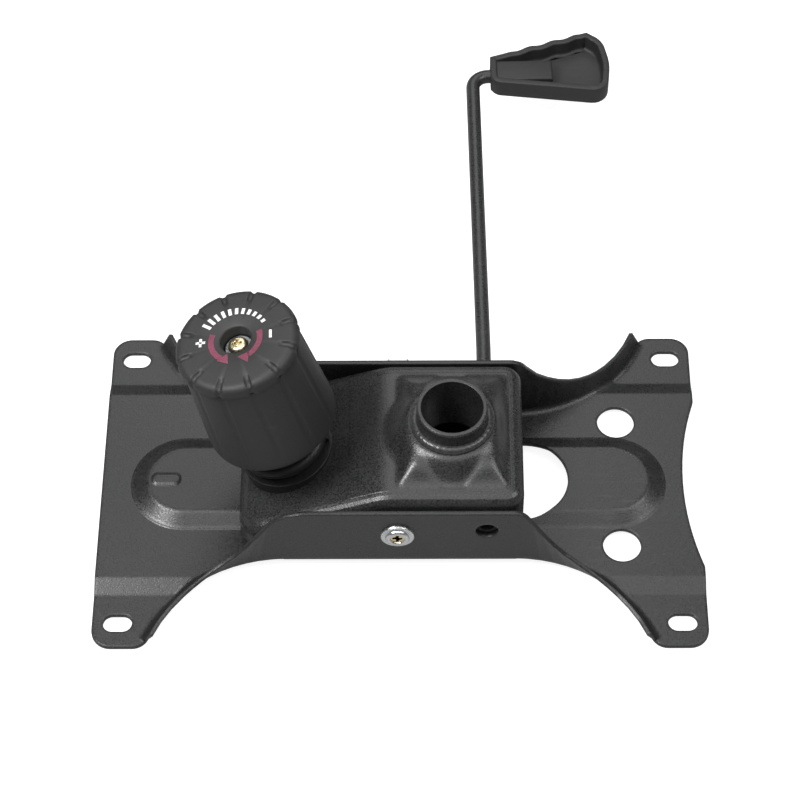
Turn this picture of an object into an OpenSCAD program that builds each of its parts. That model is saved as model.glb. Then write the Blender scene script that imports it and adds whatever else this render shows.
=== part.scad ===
// Office chair tilt mechanism, lying on its seat face.
// Origin: centre of the four seat slots on the seat plane.
// X runs to the chair's rear, Y to the lever's side, Z away from the seat. Millimetres.

/* [Seat plate] */
// Slot spacing along the chair's depth
slot_dx = 260; // [240:1:300]
// Slot spacing across the chair
slot_dy = 150; // [140:1:170]
// Length of a seat slot
slot_len = 13.5; // [10:0.5:20]
// Width of a seat slot
slot_w = 8.8; // [6:0.1:11]
// Metal past a slot at the plate's ends
end_margin = 5; // [3:0.5:15]
// Metal past a slot at the plate's sides
side_margin = 8.1; // [4:0.1:15]
// Thickness of the plate's sheet
sheet_t = 2; // [1.5:0.1:3]
// Radius of the plate's corners
corner_r = 9; // [3:0.5:12]
// Rise of the plate's middle over its corner pads
middle_rise = 3; // [1:0.5:5]
// Half width of the raised middle
middle_half = 52; // [48:1:60]
// Run of the slope between the middle and the pads
step_run = 8; // [4:0.5:12]
// Depth of the hollow in the rear edge
dip_depth = 7.5; // [2:0.5:12]
// Radius of the hollow in the rear edge
dip_r = 150; // [100:5:250]

/* [Oval emboss] */
// Distance of the oval emboss from the plate's front end
emboss_front_land = 14.8; // [10:0.1:30]
// Distance of the oval emboss from the plate's rear end
emboss_rear_land = 16.8; // [13:0.1:30]
// Width of the oval emboss at its foot
emboss_w = 50; // [46:1:60]
// Rise of the oval emboss
emboss_rise = 4; // [2:0.5:6]
// Run of the oval emboss's slope
emboss_run = 8; // [4:0.5:10]
// Centre of the rear cut-out
cutout_x = 58; // [50:1:70]
// Diameter of the rear cut-out
cutout_d = 43; // [30:1:46]
// Distance of the round holes from the plate's rear end
round_land = 38; // [28:0.5:44]
// Half spacing of the round holes
round_y = 35; // [34:0.1:40]
// Diameter of the round holes
round_d = 17.8; // [8:0.1:19]
// Distance of the small pressed pip from the plate's front end
pip_land = 30.8; // [26:0.1:40]
// Length of the small pressed pip
pip_len = 13; // [8:0.5:18]
// Width of the small pressed pip
pip_w = 5; // [4:0.5:10]
// Rise of the small pressed pip
pip_rise = 0.6; // [0.4:0.1:1.5]

/* [Flanges] */
// Width over the two flanges
channel_w = 86.8; // [80:0.1:96]
// Height of the flanges at the waist
flange_h = 44.5; // [40:0.5:50]
// Inner radius of the flange bend
bend_r = 3; // [2:0.5:5]
// Plan radius of the flares
flare_r = 66; // [60:1:72]
// Width of an ear along the plate's side
ear_w = 24.4; // [20:0.1:32]
// Height of the flanges at the ends of the flares
flare_h = 8.7; // [7.5:0.1:12]
// Reach of the flange's top past its foot along the flares
flare_lean = 3; // [1:0.1:4.5]
// Turn of the flare over which the flange starts to lean
lean_turn = 20; // [10:1:40]
// Foot of the front shoulder past the start of its flare
front_foot = 56; // [46:1:62]
// Radius at the foot of the front shoulder
front_foot_r = 58; // [45:1:70]
// Radius at the top of the front shoulder
front_top_r = 25; // [10:1:28]
// Foot of the rear shoulder past the start of its flare
rear_foot = 58; // [48:1:62]
// Radius at the foot of the rear shoulder
rear_foot_r = 60; // [45:1:70]
// Radius at the top of the rear shoulder
rear_top_r = 8; // [4:1:20]
// Distance of the flange ends from the plate's sides
flange_end = 4.5; // [3:0.5:10]
// Distance of an ear's edge behind the flange's outer face
ear_in = 1; // [0.5:0.1:2]
// Radius of the ears beside the flange ends
ear_r = 8; // [4:0.5:9]

/* [Pivot] */
// Place of the pivot along the chair's depth
pivot_x = -1; // [-4:0.5:2]
// Height of the pivot
pivot_z = 27.5; // [25:0.5:30]
// Largest tilt
tilt_max = 12; // [6:0.5:13]
// Diameter of the pivot bolt
pivot_d = 10; // [8:0.5:11]
// Wall of the pivot sleeve
sleeve_wall = 2.4; // [1.5:0.1:3]
// Wall of the pivot bushes
bush_wall = 1.95; // [1.2:0.05:3]
// Reach of the bush flanges past the bushes
bush_flange_out = 3; // [1.5:0.1:4]
// Length of the bushes inside the wall
bush_len = 7; // [4:0.5:12]
// Reach of the bolt head's flange past the shank
head_flange_out = 2.8; // [2:0.1:6]
// Thickness of the bolt head's flange
head_flange_t = 1.6; // [1:0.1:3]
// Reach of the bolt head past the shank
head_out = 0.8; // [0.4:0.1:1.6]
// Height of the bolt head over its flange
head_h = 1.9; // [1.2:0.1:5]
// Draw of the bolt head towards its end
head_draw = 1; // [0.2:0.1:1.6]
// Width of the key socket across its corners
key_d = 6; // [4:0.1:7]
// Depth of the key socket
key_depth = 2.2; // [1:0.1:3]
// Wall of the pivot nut at its flats
nut_wall = 2.5; // [2:0.1:4]
// Reach of the nut's flange past the bolt
nut_flange_out = 3.8; // [2.5:0.1:6]
// Height of the nut
nut_h = 8; // [6:0.5:10]
// Length of the bolt past the nut
bolt_past = 2; // [0.5:0.5:4]

/* [Base bracket] */
// Gap between the bracket's walls and the flanges
side_gap = 1.9; // [1.5:0.1:3]
// Sheet of the bracket
bracket_t = 2.5; // [2:0.1:3]
// Height of the bracket's face
bracket_z = 48.5; // [47:0.5:54]
// Outer radius of the drawn edges
edge_r = 6; // [4:0.5:7.5]
// Distance of the rear wall from the socket's axis
rear_land = 32.8; // [30:0.1:36]
// Distance of the front wall from the seat slots' centre
bracket_front = 75; // [72:1:80]
// Slope of the bracket's front
slope = 22; // [18:0.5:24]
// Place where the slope starts
slope_x = -7; // [-12:0.5:-5]
// Length of the rounded break before the slope
break_len = 10; // [4:1:14]
// Plan radius of the rear corners
rear_corner_r = 8; // [8:0.5:12]
// Plan radius of the front corners
front_corner_r = 14; // [8:1:20]
// Rest gap between the front wall and the oval emboss
rest_gap = 0.4; // [0.3:0.1:1.5]
// Gap left between the rear wall and the plate at full tilt
stop_gap = 3.1; // [2.6:0.1:5]
// Land of the socket boss round the socket
boss_land = 3.1; // [2.4:0.1:5]
// Spread of the socket boss from its top to its foot
boss_spread = 6; // [4:0.5:9]
// Height of the socket boss
boss_h = 8.5; // [5:0.5:11]
// Distance of the pressed gussets from the socket's axis
gusset_dx = 15.4; // [14:0.1:17]
// Height of the pressed gussets
gusset_h = 7; // [4:0.5:8]
// Width of the gussets at their foot
gusset_w = 16; // [12:0.5:18]
// Width of the gussets at their top
gusset_top_w = 3; // [2:0.5:5]
// Start of the gussets' ramp, from the middle
gusset_y = 17.5; // [15:0.5:20]
// End of the gussets' ramp, from the middle
gusset_end = 31.5; // [27:0.5:33]
// Diameter of the gauge dimple
gauge_d = 2.6; // [2:0.1:4]
// Offset of the gauge dimple from the middle
gauge_y = 24.2; // [18:0.1:28]
// Depth of the gauge dimple
gauge_depth = 0.7; // [0.3:0.1:1.2]

/* [Gas lift socket] */
// Place of the socket along the chair's depth
socket_x = 24.2; // [22:0.1:28]
// Bore at the socket's mouth
socket_bore = 28.6; // [26:0.1:30]
// Half angle of the taper
taper = 1.44; // [1:0.02:2]
// Wall of the socket at its mouth
socket_wall = 2.1; // [1.5:0.1:3]
// Height of the mouth over the boss
collar_h = 10.5; // [7:0.5:14]
// Length of the socket
socket_len = 31.5; // [28:0.5:34]
// Chamfer round the socket's mouth
mouth_chamfer = 0.7; // [0.2:0.1:1]
// Radius of the weld bead
bead_r = 2.1; // [1:0.1:2.6]
// Thickness of the inner brace
brace_t = 2.5; // [2:0.1:3]
// Distance of the brace from the socket's inner end
brace_up = 2; // [1.5:0.5:4]
// Length of the brace
brace_len = 46; // [42:1:52]
// Height of the brace's lips
lip_h = 4; // [3:0.5:5]

/* [Lever] */
// Distance of the lever's axis from the socket's axis
lever_off = 15.8; // [14:0.1:20]
// Gap between the release finger and the socket's inner end
finger_gap = 1.8; // [1.6:0.1:4]
// Diameter of the lever rod
rod_d = 7; // [6:0.5:8]
// Straight run of the rod past the far flange
rod_straight = 16.6; // [12:0.1:30]
// Length of the rod's outer run
rod_outer = 168; // [120:1:200]
// Lean of the rod's outer run
rod_lean = 0.95; // [0:0.05:3]
// Radius of the rod's bend
rod_bend_r = 8; // [6:0.5:14]
// Length of the rod's end past its bend
rod_tip = 32; // [24:1:40]
// Depth of the rod's end inside the near bush
rod_grip = 2; // [1.5:0.1:2]
// Travel of the lever along its axis
lock_travel = 5; // [3:0.5:5]
// Reach of the release finger past the socket's axis
finger_past = 0.7; // [0:0.1:2]
// Width of the release finger
finger_w = 9; // [7:0.5:9]
// Thickness of the release finger
finger_t = 3; // [2:0.1:3.4]
// Wall of the lever bushes
lever_bush_wall = 1.92; // [1.2:0.02:2.6]
// Reach of the lever bushes' flanges
lever_flange_out = 2.6; // [1.5:0.1:4]
// Length of the lever bushes inside the wall
lever_bush_len = 3; // [2.5:0.5:6]
// Height of the barb behind the wall
barb = 0.7; // [0.3:0.1:1]
// Room round the rod in the lock hole
lock_room = 1.75; // [1:0.05:2.5]
// Room round the rod in the far flange's slot
rod_room = 1.5; // [1:0.1:2]

/* [Handle] */
// Length of the handle
handle_len = 60; // [54:1:75]
// Near half width at the inner end
near_in = 8; // [7:0.5:12]
// Near half width at the tip
near_out = 15; // [12:0.5:20]
// Far half width at the inner end
far_in = 9; // [8:0.5:12]
// Far half width at the tip
far_out = 26; // [18:0.5:30]
// Thickness of the handle
handle_h = 11; // [10:0.5:14]
// Wall of the handle
handle_wall = 3.4; // [1.8:0.1:3.6]
// Radius of the handle's tip corners
handle_r = 9; // [4:0.5:10]
// Floor of the handle
handle_floor = 2; // [1.5:0.1:2]
// Radius of the finger scallops
scallop_r = 13; // [9:0.5:18]
// Depth of the finger scallops
scallop_depth = 1; // [0.8:0.1:2.4]
// Place of the first finger scallop
scallop_x = 15.5; // [12:0.5:18]
// Spacing of the finger scallops
scallop_dx = 12.2; // [11:0.1:15]
// Length of the rod boss
boss_len = 34; // [30:1:44]
// Wall of the rod boss
rod_boss_wall = 3; // [2:0.1:3.5]
// Drop of the rod boss under the handle's rim
boss_drop = 0.8; // [0.4:0.1:1]

/* [Tension bolt] */
// Lean of the tension bolt
bolt_lean = 12.6; // [8:0.1:16]
// Place where the bolt's axis meets the seat plane
bolt_foot = -44.9; // [-50:0.1:-42]
// Diameter of the tension bolt
bolt_d = 10; // [8:0.5:11]
// Diameter of the bolt's ball head
ball_d = 17; // [16:0.5:19]
// Depth of the ball's centre under the emboss
ball_sink = 4.4; // [4:0.1:5]
// Gap between the ball head and the seat plane
seat_gap = 0.6; // [0.3:0.1:1.5]
// Diameter of the stop screw
screw_d = 5; // [4:0.5:6]
// Length of the stop screw
screw_len = 12; // [8:0.5:16]
// Reach of the stop screw's head past its thread
screw_head_out = 2.2; // [1.5:0.1:3]
// Draw of the stop screw's head towards its top
screw_head_draw = 1.3; // [0.4:0.1:1.8]
// Height of the stop screw's head
screw_head_h = 3.4; // [2.5:0.1:4]
// Width of the screw's cross recess
cross_w = 1.2; // [0.8:0.1:1.6]
// Length of the screw's cross recess
cross_len = 5.2; // [4:0.1:6]
// Depth of the screw's cross recess
cross_depth = 2; // [1:0.1:2.4]
// Depth of the screw's head under the knob's top
screw_sink = 2.5; // [1.6:0.1:5]
// Reach of the stop washer past the bolt
stop_out = 1.3; // [0.8:0.1:2]
// Thickness of the stop washer
stop_t = 1.2; // [0.8:0.1:2]

/* [Tension spring] */
// Diameter of the spring's wire
wire_d = 6; // [4.5:0.1:6.4]
// Mean radius of the spring
coil_r = 18; // [17:0.5:20]
// Turns of the spring
coils = 7; // [5:0.5:8]
// Gap between the dead turns at each end
dead_gap = 0.6; // [0.5:0.1:1.5]
// Land of the spring seat outside the spring
seat_land = 0.8; // [0.4:0.1:2]
// Least thickness of the spring seat
seat_t = 1.6; // [1:0.1:3]
// Height of the spring seat's collar
collar_up = 5; // [3:0.5:7]
// Room between the collar and the spring
collar_room = 0.7; // [0.4:0.1:1.2]

/* [Knob] */
// Distance of the knob's foot along the bolt from the seat plane
knob_foot = 61.3; // [58:0.1:66]
// Height of the knob
knob_h = 61.2; // [58:0.1:66]
// Room between the thrust washer and the knob's wall
knob_room = 2.2; // [1:0.1:4]
// Wall of the knob at its neck
knob_wall = 3; // [2:0.1:4]
// Spread of the knob from its neck to its foot
knob_spread = 3; // [1.5:0.1:5]
// Height of the band round the knob's foot
knob_band = 4; // [2:0.5:8]
// Reach of the knob's top lip past its neck
knob_lip_out = 1.2; // [0.5:0.1:2]
// Height of the knob's top lip
knob_lip_h = 7.5; // [6.5:0.5:10]
// Height of the slope under the knob's top lip
knob_lip_run = 2.5; // [1:0.5:3]
// Rounding of the knob's top
knob_round = 3.6; // [2:0.1:4]
// Grooves round the knob
grooves = 12; // [8:1:18]
// Radius of a groove
groove_r = 1.5; // [1:0.1:2.5]
// Depth of a groove
groove_depth = 0.8; // [0.3:0.1:1.2]
// Length of the notches in the knob's rim
notch_len = 7; // [4:0.5:9]
// Width of the notches in the knob's rim
notch_w = 2; // [1:0.1:3]
// Depth of the notches in the knob's rim
notch_depth = 1.6; // [0.6:0.1:2.4]
// Room round the stop washer in the knob's top
recess_room = 0.7; // [0.4:0.1:2]
// Wall of the knob's hub at the nut's corners
hub_wall = 3.2; // [2:0.1:3.5]
// Wall of the captive nut at its flats
knob_nut_wall = 3; // [2:0.1:3.4]
// Height of the captive nut
knob_nut_h = 8; // [6:0.5:9]
// Thickness between the captive nut and the recess
nut_cover = 3; // [2:0.1:5]
// Thickness between the spring's room and the recess
roof_t = 1.5; // [1:0.1:3]
// Pitch of the bolt's thread
pitch = 1.5; // [1:0.25:2]
// Turns from the photographed setting to the loose stop
loose_turns = 4; // [2:1:5]
// Thickness of the thrust washer
thrust_t = 2; // [1:0.1:3]
// Land of the thrust washer outside the spring
thrust_land = 1; // [0.4:0.1:1.6]

/* [Clearances] */
// Radial clearance of the tilt bearing
running_fit = 0.05; // [0.02:0.01:0.1]
// Radial clearance of the rod in its bushes
sliding_fit = 0.03; // [0.01:0.01:0.05]
// Radial clearance of bolts in their holes
bolt_fit = 0.1; // [0.05:0.05:0.4]
// Gap between pieces that are fixed to each other
fixed_fit = 0.03; // [0.02:0.01:0.1]
// Gap between pieces that move past each other
moving_gap = 0.3; // [0.2:0.05:0.4]

/* [Hidden] */
$fn = 64;
far = 400;
seam = 0.05;
foot_in = 1;
plate_hx = slot_dx / 2 + slot_len / 2 + end_margin;
plate_hy = slot_dy / 2 + slot_w / 2 + side_margin;
middle_top = middle_rise + sheet_t;
emboss_top = middle_top + emboss_rise;
emboss_front = emboss_front_land - plate_hx;
emboss_rear = plate_hx - emboss_rear_land;
bend_out = bend_r + sheet_t;
flange_y = channel_w / 2;
flange_in = flange_y - sheet_t;
flare_cy = flange_y + flare_r;
ear_reach = flare_r + ear_in;
flare_cx = plate_hx - ear_w - sqrt(ear_reach * ear_reach - (flare_cy - plate_hy) * (flare_cy - plate_hy));
flange_end_y = plate_hy - flange_end;
sleeve_r = pivot_d / 2 + bolt_fit + sleeve_wall;
bush_r = sleeve_r + running_fit + bush_wall;
wall_y = flange_in - side_gap;
wall_in = wall_y - bracket_t;
bracket_rear = socket_x + rear_land;
front_low = emboss_top + rest_gap;
rear_low = pivot_z
    + (middle_top + stop_gap - pivot_z + (bracket_rear - pivot_x) * sin(tilt_max)) / cos(tilt_max);
socket_r = socket_bore / 2 + socket_wall;
boss_top = bracket_z + boss_h;
boss_top_r = socket_r + boss_land;
mouth_z = boss_top + collar_h;
socket_foot = mouth_z - socket_len;
rod_r = rod_d / 2;
lever_x = socket_x + lever_off;
lever_z = socket_foot - finger_gap - rod_r;
lever_bush_r = rod_r + sliding_fit + lever_bush_wall;
lever_bush_low = wall_in - lever_bush_len;
rod_end = -lever_bush_low - rod_grip;
rod_turn = flange_y + rod_straight;
ball_z = emboss_top - sheet_t - ball_sink;
spring_r = coil_r + wire_d / 2;
spring_seat_r = spring_r + seat_land;
collar_r = coil_r - wire_d / 2 - collar_room;
face_s = (bracket_z + (bolt_foot - slope_x) * tan(slope)) / (cos(bolt_lean) + sin(bolt_lean) * tan(slope));
seat_s = face_s + spring_seat_r * tan(slope - bolt_lean) + seat_t;
stop_r = bolt_d / 2 + stop_out;
bolt_end = knob_foot + knob_h - screw_sink - screw_head_h - stop_t;
recess_floor = bolt_end - loose_turns * pitch - moving_gap - knob_foot;
nut_floor = recess_floor - nut_cover - knob_nut_h;
nut_corner_r = (bolt_d / 2 + knob_nut_wall) / cos(30);
hub_r = nut_corner_r + hub_wall;
ceiling = recess_floor - roof_t;
thrust_r = spring_r + thrust_land;
cavity_r = thrust_r + knob_room;
neck_r = cavity_r + knob_wall;
foot_r = neck_r + knob_spread;
lip_r = neck_r + knob_lip_out;
thrust_s = knob_foot + ceiling - moving_gap - thrust_t;
spring_low = seat_s + fixed_fit + wire_d / 2;
spring_high = thrust_s - fixed_fit - wire_d / 2;
slot_r = bolt_d / 2 + 2 * moving_gap;
slot_shift = bolt_shift(seat_s + collar_up) + moving_gap;

// A point on the bolt's axis, in X and Z
function axis_point(s) = [bolt_foot - s * sin(bolt_lean), s * cos(bolt_lean)];

// A vector in X and Z turned by the tilt
function tilted(v, a) = [v[0] * cos(a) + v[1] * sin(a), v[1] * cos(a) - v[0] * sin(a)];

// How far the bracket's point at s on the bolt's axis leaves that axis at full tilt
function bolt_shift(s) =
    let (p = [pivot_x, pivot_z])
    let (q = p + tilted(axis_point(s) - p, tilt_max))
    (q - [bolt_foot, 0]) * [cos(bolt_lean), sin(bolt_lean)];

// Places the children on the tension bolt's axis at distance s from the seat plane
module on_bolt(s) {
    translate([bolt_foot, 0, 0])
        rotate([0, -bolt_lean, 0])
            translate([0, 0, s])
                children();
}

// A cylinder along Y from y0 to y1
module y_cylinder(r, y0, y1) {
    translate([0, y0, 0])
        rotate([-90, 0, 0])
            cylinder(r = r, h = y1 - y0);
}

// Extrudes an X and Z outline across the part
module across(half) {
    translate([0, half, 0])
        rotate([90, 0, 0])
            linear_extrude(2 * half)
                children();
}

// A raised oval with sloping sides, from x0 to x1
module oval_rise(x0, x1, w, rise, run) {
    r = w / 2;
    for (side = [0, 1])
        translate([side == 0 ? x0 + r : x1 - r, 0, 0])
            rotate([0, 0, side == 0 ? 90 : -90])
                rotate_extrude(angle = 180)
                    polygon([[0, 0], [r, 0], [r - run, rise], [0, rise]]);
    translate([x0 + r, 0, 0])
        rotate([90, 0, 90])
            linear_extrude(x1 - x0 - w)
                polygon([[-r, 0], [r, 0], [r - run, rise], [run - r, rise]]);
}

// The waist and flares in plan, moved into the plate by off
module waist_plan(off) {
    for (x = [-1, 1])
        translate([x * flare_cx, flare_cy])
            circle(r = flare_r + off, $fn = 180);
    translate([-flare_cx, flange_y - off])
        square([2 * flare_cx, far]);
}

// What the ear's rounding takes off the plate's side at one end of the waist
module ear_cut() {
    reach = ear_reach + ear_r;
    drop = flare_cy - plate_hy + ear_r;
    cx = flare_cx + sqrt(reach * reach - drop * drop);
    difference() {
        translate([cx - 2 * ear_r, plate_hy - ear_r])
            square([2 * ear_r, 2 * ear_r]);
        translate([cx, plate_hy - ear_r])
            circle(r = ear_r);
    }
}

// The plate in plan, without its holes
module plate_plan() {
    difference() {
        union() {
            square([2 * plate_hx, 2 * (plate_hy - corner_r)], center = true);
            square([2 * (plate_hx - corner_r), 2 * plate_hy], center = true);
            for (x = [-1, 1], y = [-1, 1])
                translate([x * (plate_hx - corner_r), y * (plate_hy - corner_r)])
                    circle(r = corner_r);
        }
        translate([plate_hx - dip_depth + dip_r, 0])
            circle(r = dip_r, $fn = 180);
        for (y = [0, 1])
            mirror([0, y, 0]) {
                intersection() {
                    waist_plan(bend_out + foot_in / 2);
                    translate([-far / 2, 0])
                        square([far, flange_end_y - 1]);
                }
                waist_plan(ear_in);
                for (x = [0, 1])
                    mirror([x, 0, 0])
                        ear_cut();
            }
    }
}

// The flange's section at the waist: wall, bend and a lip that runs into the plate
module flange_section() {
    centre = [flare_r + bend_out, middle_rise + bend_out];
    translate([flare_r, middle_rise + bend_out])
        square([sheet_t, flange_h]);
    intersection() {
        difference() {
            translate(centre)
                circle(r = bend_out);
            translate(centre)
                circle(r = bend_r);
        }
        translate([flare_r, middle_rise])
            square([bend_out, bend_out]);
    }
    translate([flare_r + bend_out, middle_rise])
        square([foot_in, sheet_t]);
}

// Half of the flange's top edge in X and Z: level, a convex arc, a hollow one, then the flare's end
function shoulder(foot_x, foot_r, top_r) =
    let (drop = flange_h - top_r - flare_h - foot_r)
    let (top_x = foot_x - sqrt((foot_r + top_r) * (foot_r + top_r) - drop * drop))
    let (turn = acos(-drop / (foot_r + top_r)))
    let (steps = 14)
    concat(
        [[0, flange_h]],
        [for (i = [0:steps])
            let (a = turn * i / steps)
            [top_x + top_r * sin(a), flange_h - top_r + top_r * cos(a)]],
        [for (i = [steps - 1:-1:0])
            let (a = turn * i / steps)
            [foot_x - foot_r * sin(a), flare_h + foot_r - foot_r * cos(a)]],
        [[plate_hx, flare_h]]
    );

// Height of the sheet's underside at y: raised middle, slope, corner pad
function sheet_low(y) = middle_rise * max(0, min(1, (middle_half + step_run - y) / step_run));

// The flange's section at angle a of the flare, in radius and Z: a bend, then a wall that leans out
function lean_section(a, top) =
    let (r = flare_r + bend_out, low = sheet_low(flare_cy - r * cos(a)), steps = 4)
    let (root = sheet_low(flare_cy - (r + foot_in) * cos(a)))
    let (grow = min(1, a / lean_turn))
    let (out = bend_out + flare_lean * grow * grow * (3 - 2 * grow), up = top - low - bend_out)
    let (run = sqrt(out * out + up * up - bend_out * bend_out))
    let (lean = atan2(up, -out) + atan2(run, bend_out) - 180)
    let (bend = [for (i = [0:steps]) let (t = 270 - (90 - lean) * i / steps) [cos(t), sin(t)]])
    let (wall = run * [-sin(lean), cos(lean)], centre = [r, low + bend_out])
    let (inner = bend_r + seam, outer = bend_out - seam)
    concat(
        [[r + foot_in, root + sheet_t - seam]],
        [for (p = bend) centre + inner * p],
        [centre + inner * bend[steps] + wall, centre + outer * bend[steps] + wall],
        [for (i = [steps:-1:0]) centre + outer * bend[i]],
        [[r + foot_in, root + seam]]
    );

// A closed shell through a row of loops, closed by strips across the first and the last one
module shell(loops) {
    m = len(loops[0]);
    last = (len(loops) - 1) * m;
    cap = [
        for (i = [0:m / 2 - 2])
            let (j = m - 1 - i)
            each [[i, i + 1, j], [i + 1, j - 1, j]]
    ];
    polyhedron(
        points = [for (l = loops) each l],
        faces = concat(
            [for (f = cap) [f[2], f[1], f[0]]],
            [for (k = [0:len(loops) - 2], i = [0:m - 1])
                let (a = k * m + i, b = k * m + (i + 1) % m)
                each [[a, b, b + m], [a, b + m, a + m]]],
            [for (f = cap) [last + f[0], last + f[1], last + f[2]]]
        )
    );
}

// The flange along one flare: out of the waist, over the step and down to the corner pad
module flare_wing(top) {
    r = flare_r + bend_out;
    marks = [
        0, lean_turn / 4, acos((flare_cy - middle_half) / r),
        acos((flare_cy - middle_half - step_run) / r), acos((flare_cy - flange_end_y) / r)
    ];
    steps = [4, 6, 2, 3];
    angles = concat([0], [
        for (k = [0:3], i = [1:steps[k]])
            marks[k] + (marks[k + 1] - marks[k]) * i / steps[k]
    ]);
    shell(concat(
        [[for (p = lean_section(0, lookup(flare_cx, top) - seam)) [flare_cx - 1, flare_cy - p[0], p[1]]]],
        [for (a = angles)
            [for (p = lean_section(a, lookup(flare_cx + flare_r * sin(a), top) - seam))
                [flare_cx + p[0] * sin(a), flare_cy - p[0] * cos(a), p[1]]]]
    ));
}

// Half of one flange, on the far side and towards the rear: straight waist, then the flare
module half_flange(top) {
    intersection() {
        translate([0, flare_cy, 0])
            rotate([90, 0, 90])
                linear_extrude(flare_cx)
                    mirror([1, 0, 0])
                        flange_section();
        across(far / 2)
            polygon(concat([[0, 0]], top, [[plate_hx, 0]]));
    }
    flare_wing(top);
}

// One whole flange on the far side
module flange() {
    half_flange(shoulder(flare_cx + rear_foot, rear_foot_r, rear_top_r));
    mirror([1, 0, 0])
        half_flange(shoulder(flare_cx + front_foot, front_foot_r, front_top_r));
}

// A slot for a seat screw
module seat_slot() {
    run = slot_len - slot_w;
    for (x = [-1, 1])
        translate([x * run / 2, 0, -1])
            cylinder(d = slot_w, h = sheet_t + 2);
    translate([-run / 2, -slot_w / 2, -1])
        cube([run, slot_w, sheet_t + 2]);
}

// The pressed sheet with its step and emboss
module pressed_sheet() {
    pad = middle_half + step_run;
    difference() {
        union() {
            intersection() {
                rotate([90, 0, 90])
                    linear_extrude(2 * plate_hx, center = true)
                        polygon([
                            [-plate_hy, 0], [-pad, 0], [-middle_half, middle_rise],
                            [middle_half, middle_rise], [pad, 0], [plate_hy, 0],
                            [plate_hy, sheet_t], [pad, sheet_t], [middle_half, middle_top],
                            [-middle_half, middle_top], [-pad, sheet_t], [-plate_hy, sheet_t]
                        ]);
                translate([0, 0, -1])
                    linear_extrude(middle_top + 2)
                        plate_plan();
            }
            translate([0, 0, middle_top])
                oval_rise(emboss_front, emboss_rear, emboss_w, emboss_rise, emboss_run);
            translate([pip_land - plate_hx, 0, emboss_top])
                oval_rise(-pip_len / 2, pip_len / 2, pip_w, pip_rise, pip_rise);
        }
        translate([0, 0, middle_rise])
            oval_rise(emboss_front, emboss_rear, emboss_w, emboss_rise, emboss_run);
        translate([pip_land - plate_hx, 0, emboss_top - sheet_t])
            oval_rise(-pip_len / 2, pip_len / 2, pip_w, pip_rise, pip_rise);
    }
}

// The pressed seat plate with its two flanges
module seat_plate() {
    arm = [lever_x - pivot_x, lever_z - pivot_z];
    drop = tilted(arm, tilt_max) - arm;
    room = rod_r + rod_room;
    color("#3b3c3e")
        difference() {
            union() {
                pressed_sheet();
                for (y = [0, 1])
                    mirror([0, y, 0])
                        flange();
            }
            for (x = [-1, 1], y = [-1, 1])
                translate([x * slot_dx / 2, y * slot_dy / 2, 0])
                    seat_slot();
            translate([cutout_x, 0, -1])
                cylinder(d = cutout_d, h = emboss_top + 2, $fn = 96);
            for (y = [-1, 1])
                translate([plate_hx - round_land, y * round_y, -1])
                    cylinder(d = round_d, h = emboss_top);
            translate([pivot_x, 0, pivot_z])
                y_cylinder(pivot_d / 2 + bolt_fit, -flange_y - 1, flange_y + 1);
            translate([lever_x, 0, lever_z])
                y_cylinder(rod_r + lock_room, -flange_y - 1, -flange_in + 1);
            translate([lever_x, 0, lever_z])
                y_cylinder(room, flange_in - 1, flange_y + 1);
            translate([lever_x, 0, lever_z + drop[1]])
                y_cylinder(room, flange_in - 1, flange_y + 1);
            translate([lever_x - room, flange_in - 1, lever_z + drop[1]])
                cube([2 * room, sheet_t + 2, -drop[1]]);
            on_bolt(ball_z / cos(bolt_lean))
                sphere(d = ball_d + 2 * bolt_fit);
            on_bolt(0)
                cylinder(r = bolt_d / 2 + bolt_fit, h = 2 * emboss_top);
        }
}

// Flange-head bolt through both flanges, driven from the near side
module pivot_bolt() {
    head_r = pivot_d / 2 + head_out;
    head_y = -flange_y - head_flange_t - head_h;
    color("#c9cbcd")
        translate([pivot_x, 0, pivot_z])
            difference() {
                union() {
                    y_cylinder(pivot_d / 2, -flange_y, flange_y + nut_h + bolt_past);
                    y_cylinder(pivot_d / 2 + head_flange_out, -flange_y - head_flange_t, -flange_y);
                    translate([0, head_y, 0])
                        rotate([-90, 0, 0])
                            cylinder(r1 = head_r - head_draw, r2 = head_r, h = head_h);
                }
                translate([0, head_y - 1, 0])
                    rotate([-90, 30, 0])
                        cylinder(d = key_d, h = key_depth + 1, $fn = 6);
            }
}

// Flange nut on the bolt's far end
module pivot_nut() {
    color("#c3c5c8")
        translate([pivot_x, 0, pivot_z])
            difference() {
                union() {
                    y_cylinder(pivot_d / 2 + nut_flange_out, flange_y, flange_y + head_flange_t);
                    translate([0, flange_y, 0])
                        rotate([-90, 0, 0])
                            cylinder(r = (pivot_d / 2 + nut_wall) / cos(30), h = nut_h, $fn = 6);
                }
                y_cylinder(pivot_d / 2 + fixed_fit, flange_y - 1, flange_y + nut_h + 1);
            }
}

// Sleeve clamped between the flanges, on which the bracket turns
module pivot_sleeve() {
    color("#8d9093")
        translate([pivot_x, 0, pivot_z])
            difference() {
                y_cylinder(sleeve_r, -flange_in, flange_in);
                y_cylinder(pivot_d / 2 + bolt_fit, -flange_in - 1, flange_in + 1);
            }
}

// Ball-headed bolt that leans forward out of the oval emboss
module tension_bolt() {
    color("#b9bcbf")
        difference() {
            union() {
                intersection() {
                    on_bolt(ball_z / cos(bolt_lean))
                        sphere(d = ball_d);
                    translate([bolt_foot - ball_d, -ball_d, seat_gap])
                        cube([2 * ball_d, 2 * ball_d, 2 * ball_d]);
                }
                on_bolt(ball_z)
                    cylinder(d = bolt_d, h = bolt_end - ball_z);
            }
            on_bolt(bolt_end + stop_t - screw_len - 1)
                cylinder(r = screw_d / 2 + fixed_fit, h = screw_len + 2);
        }
}

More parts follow.
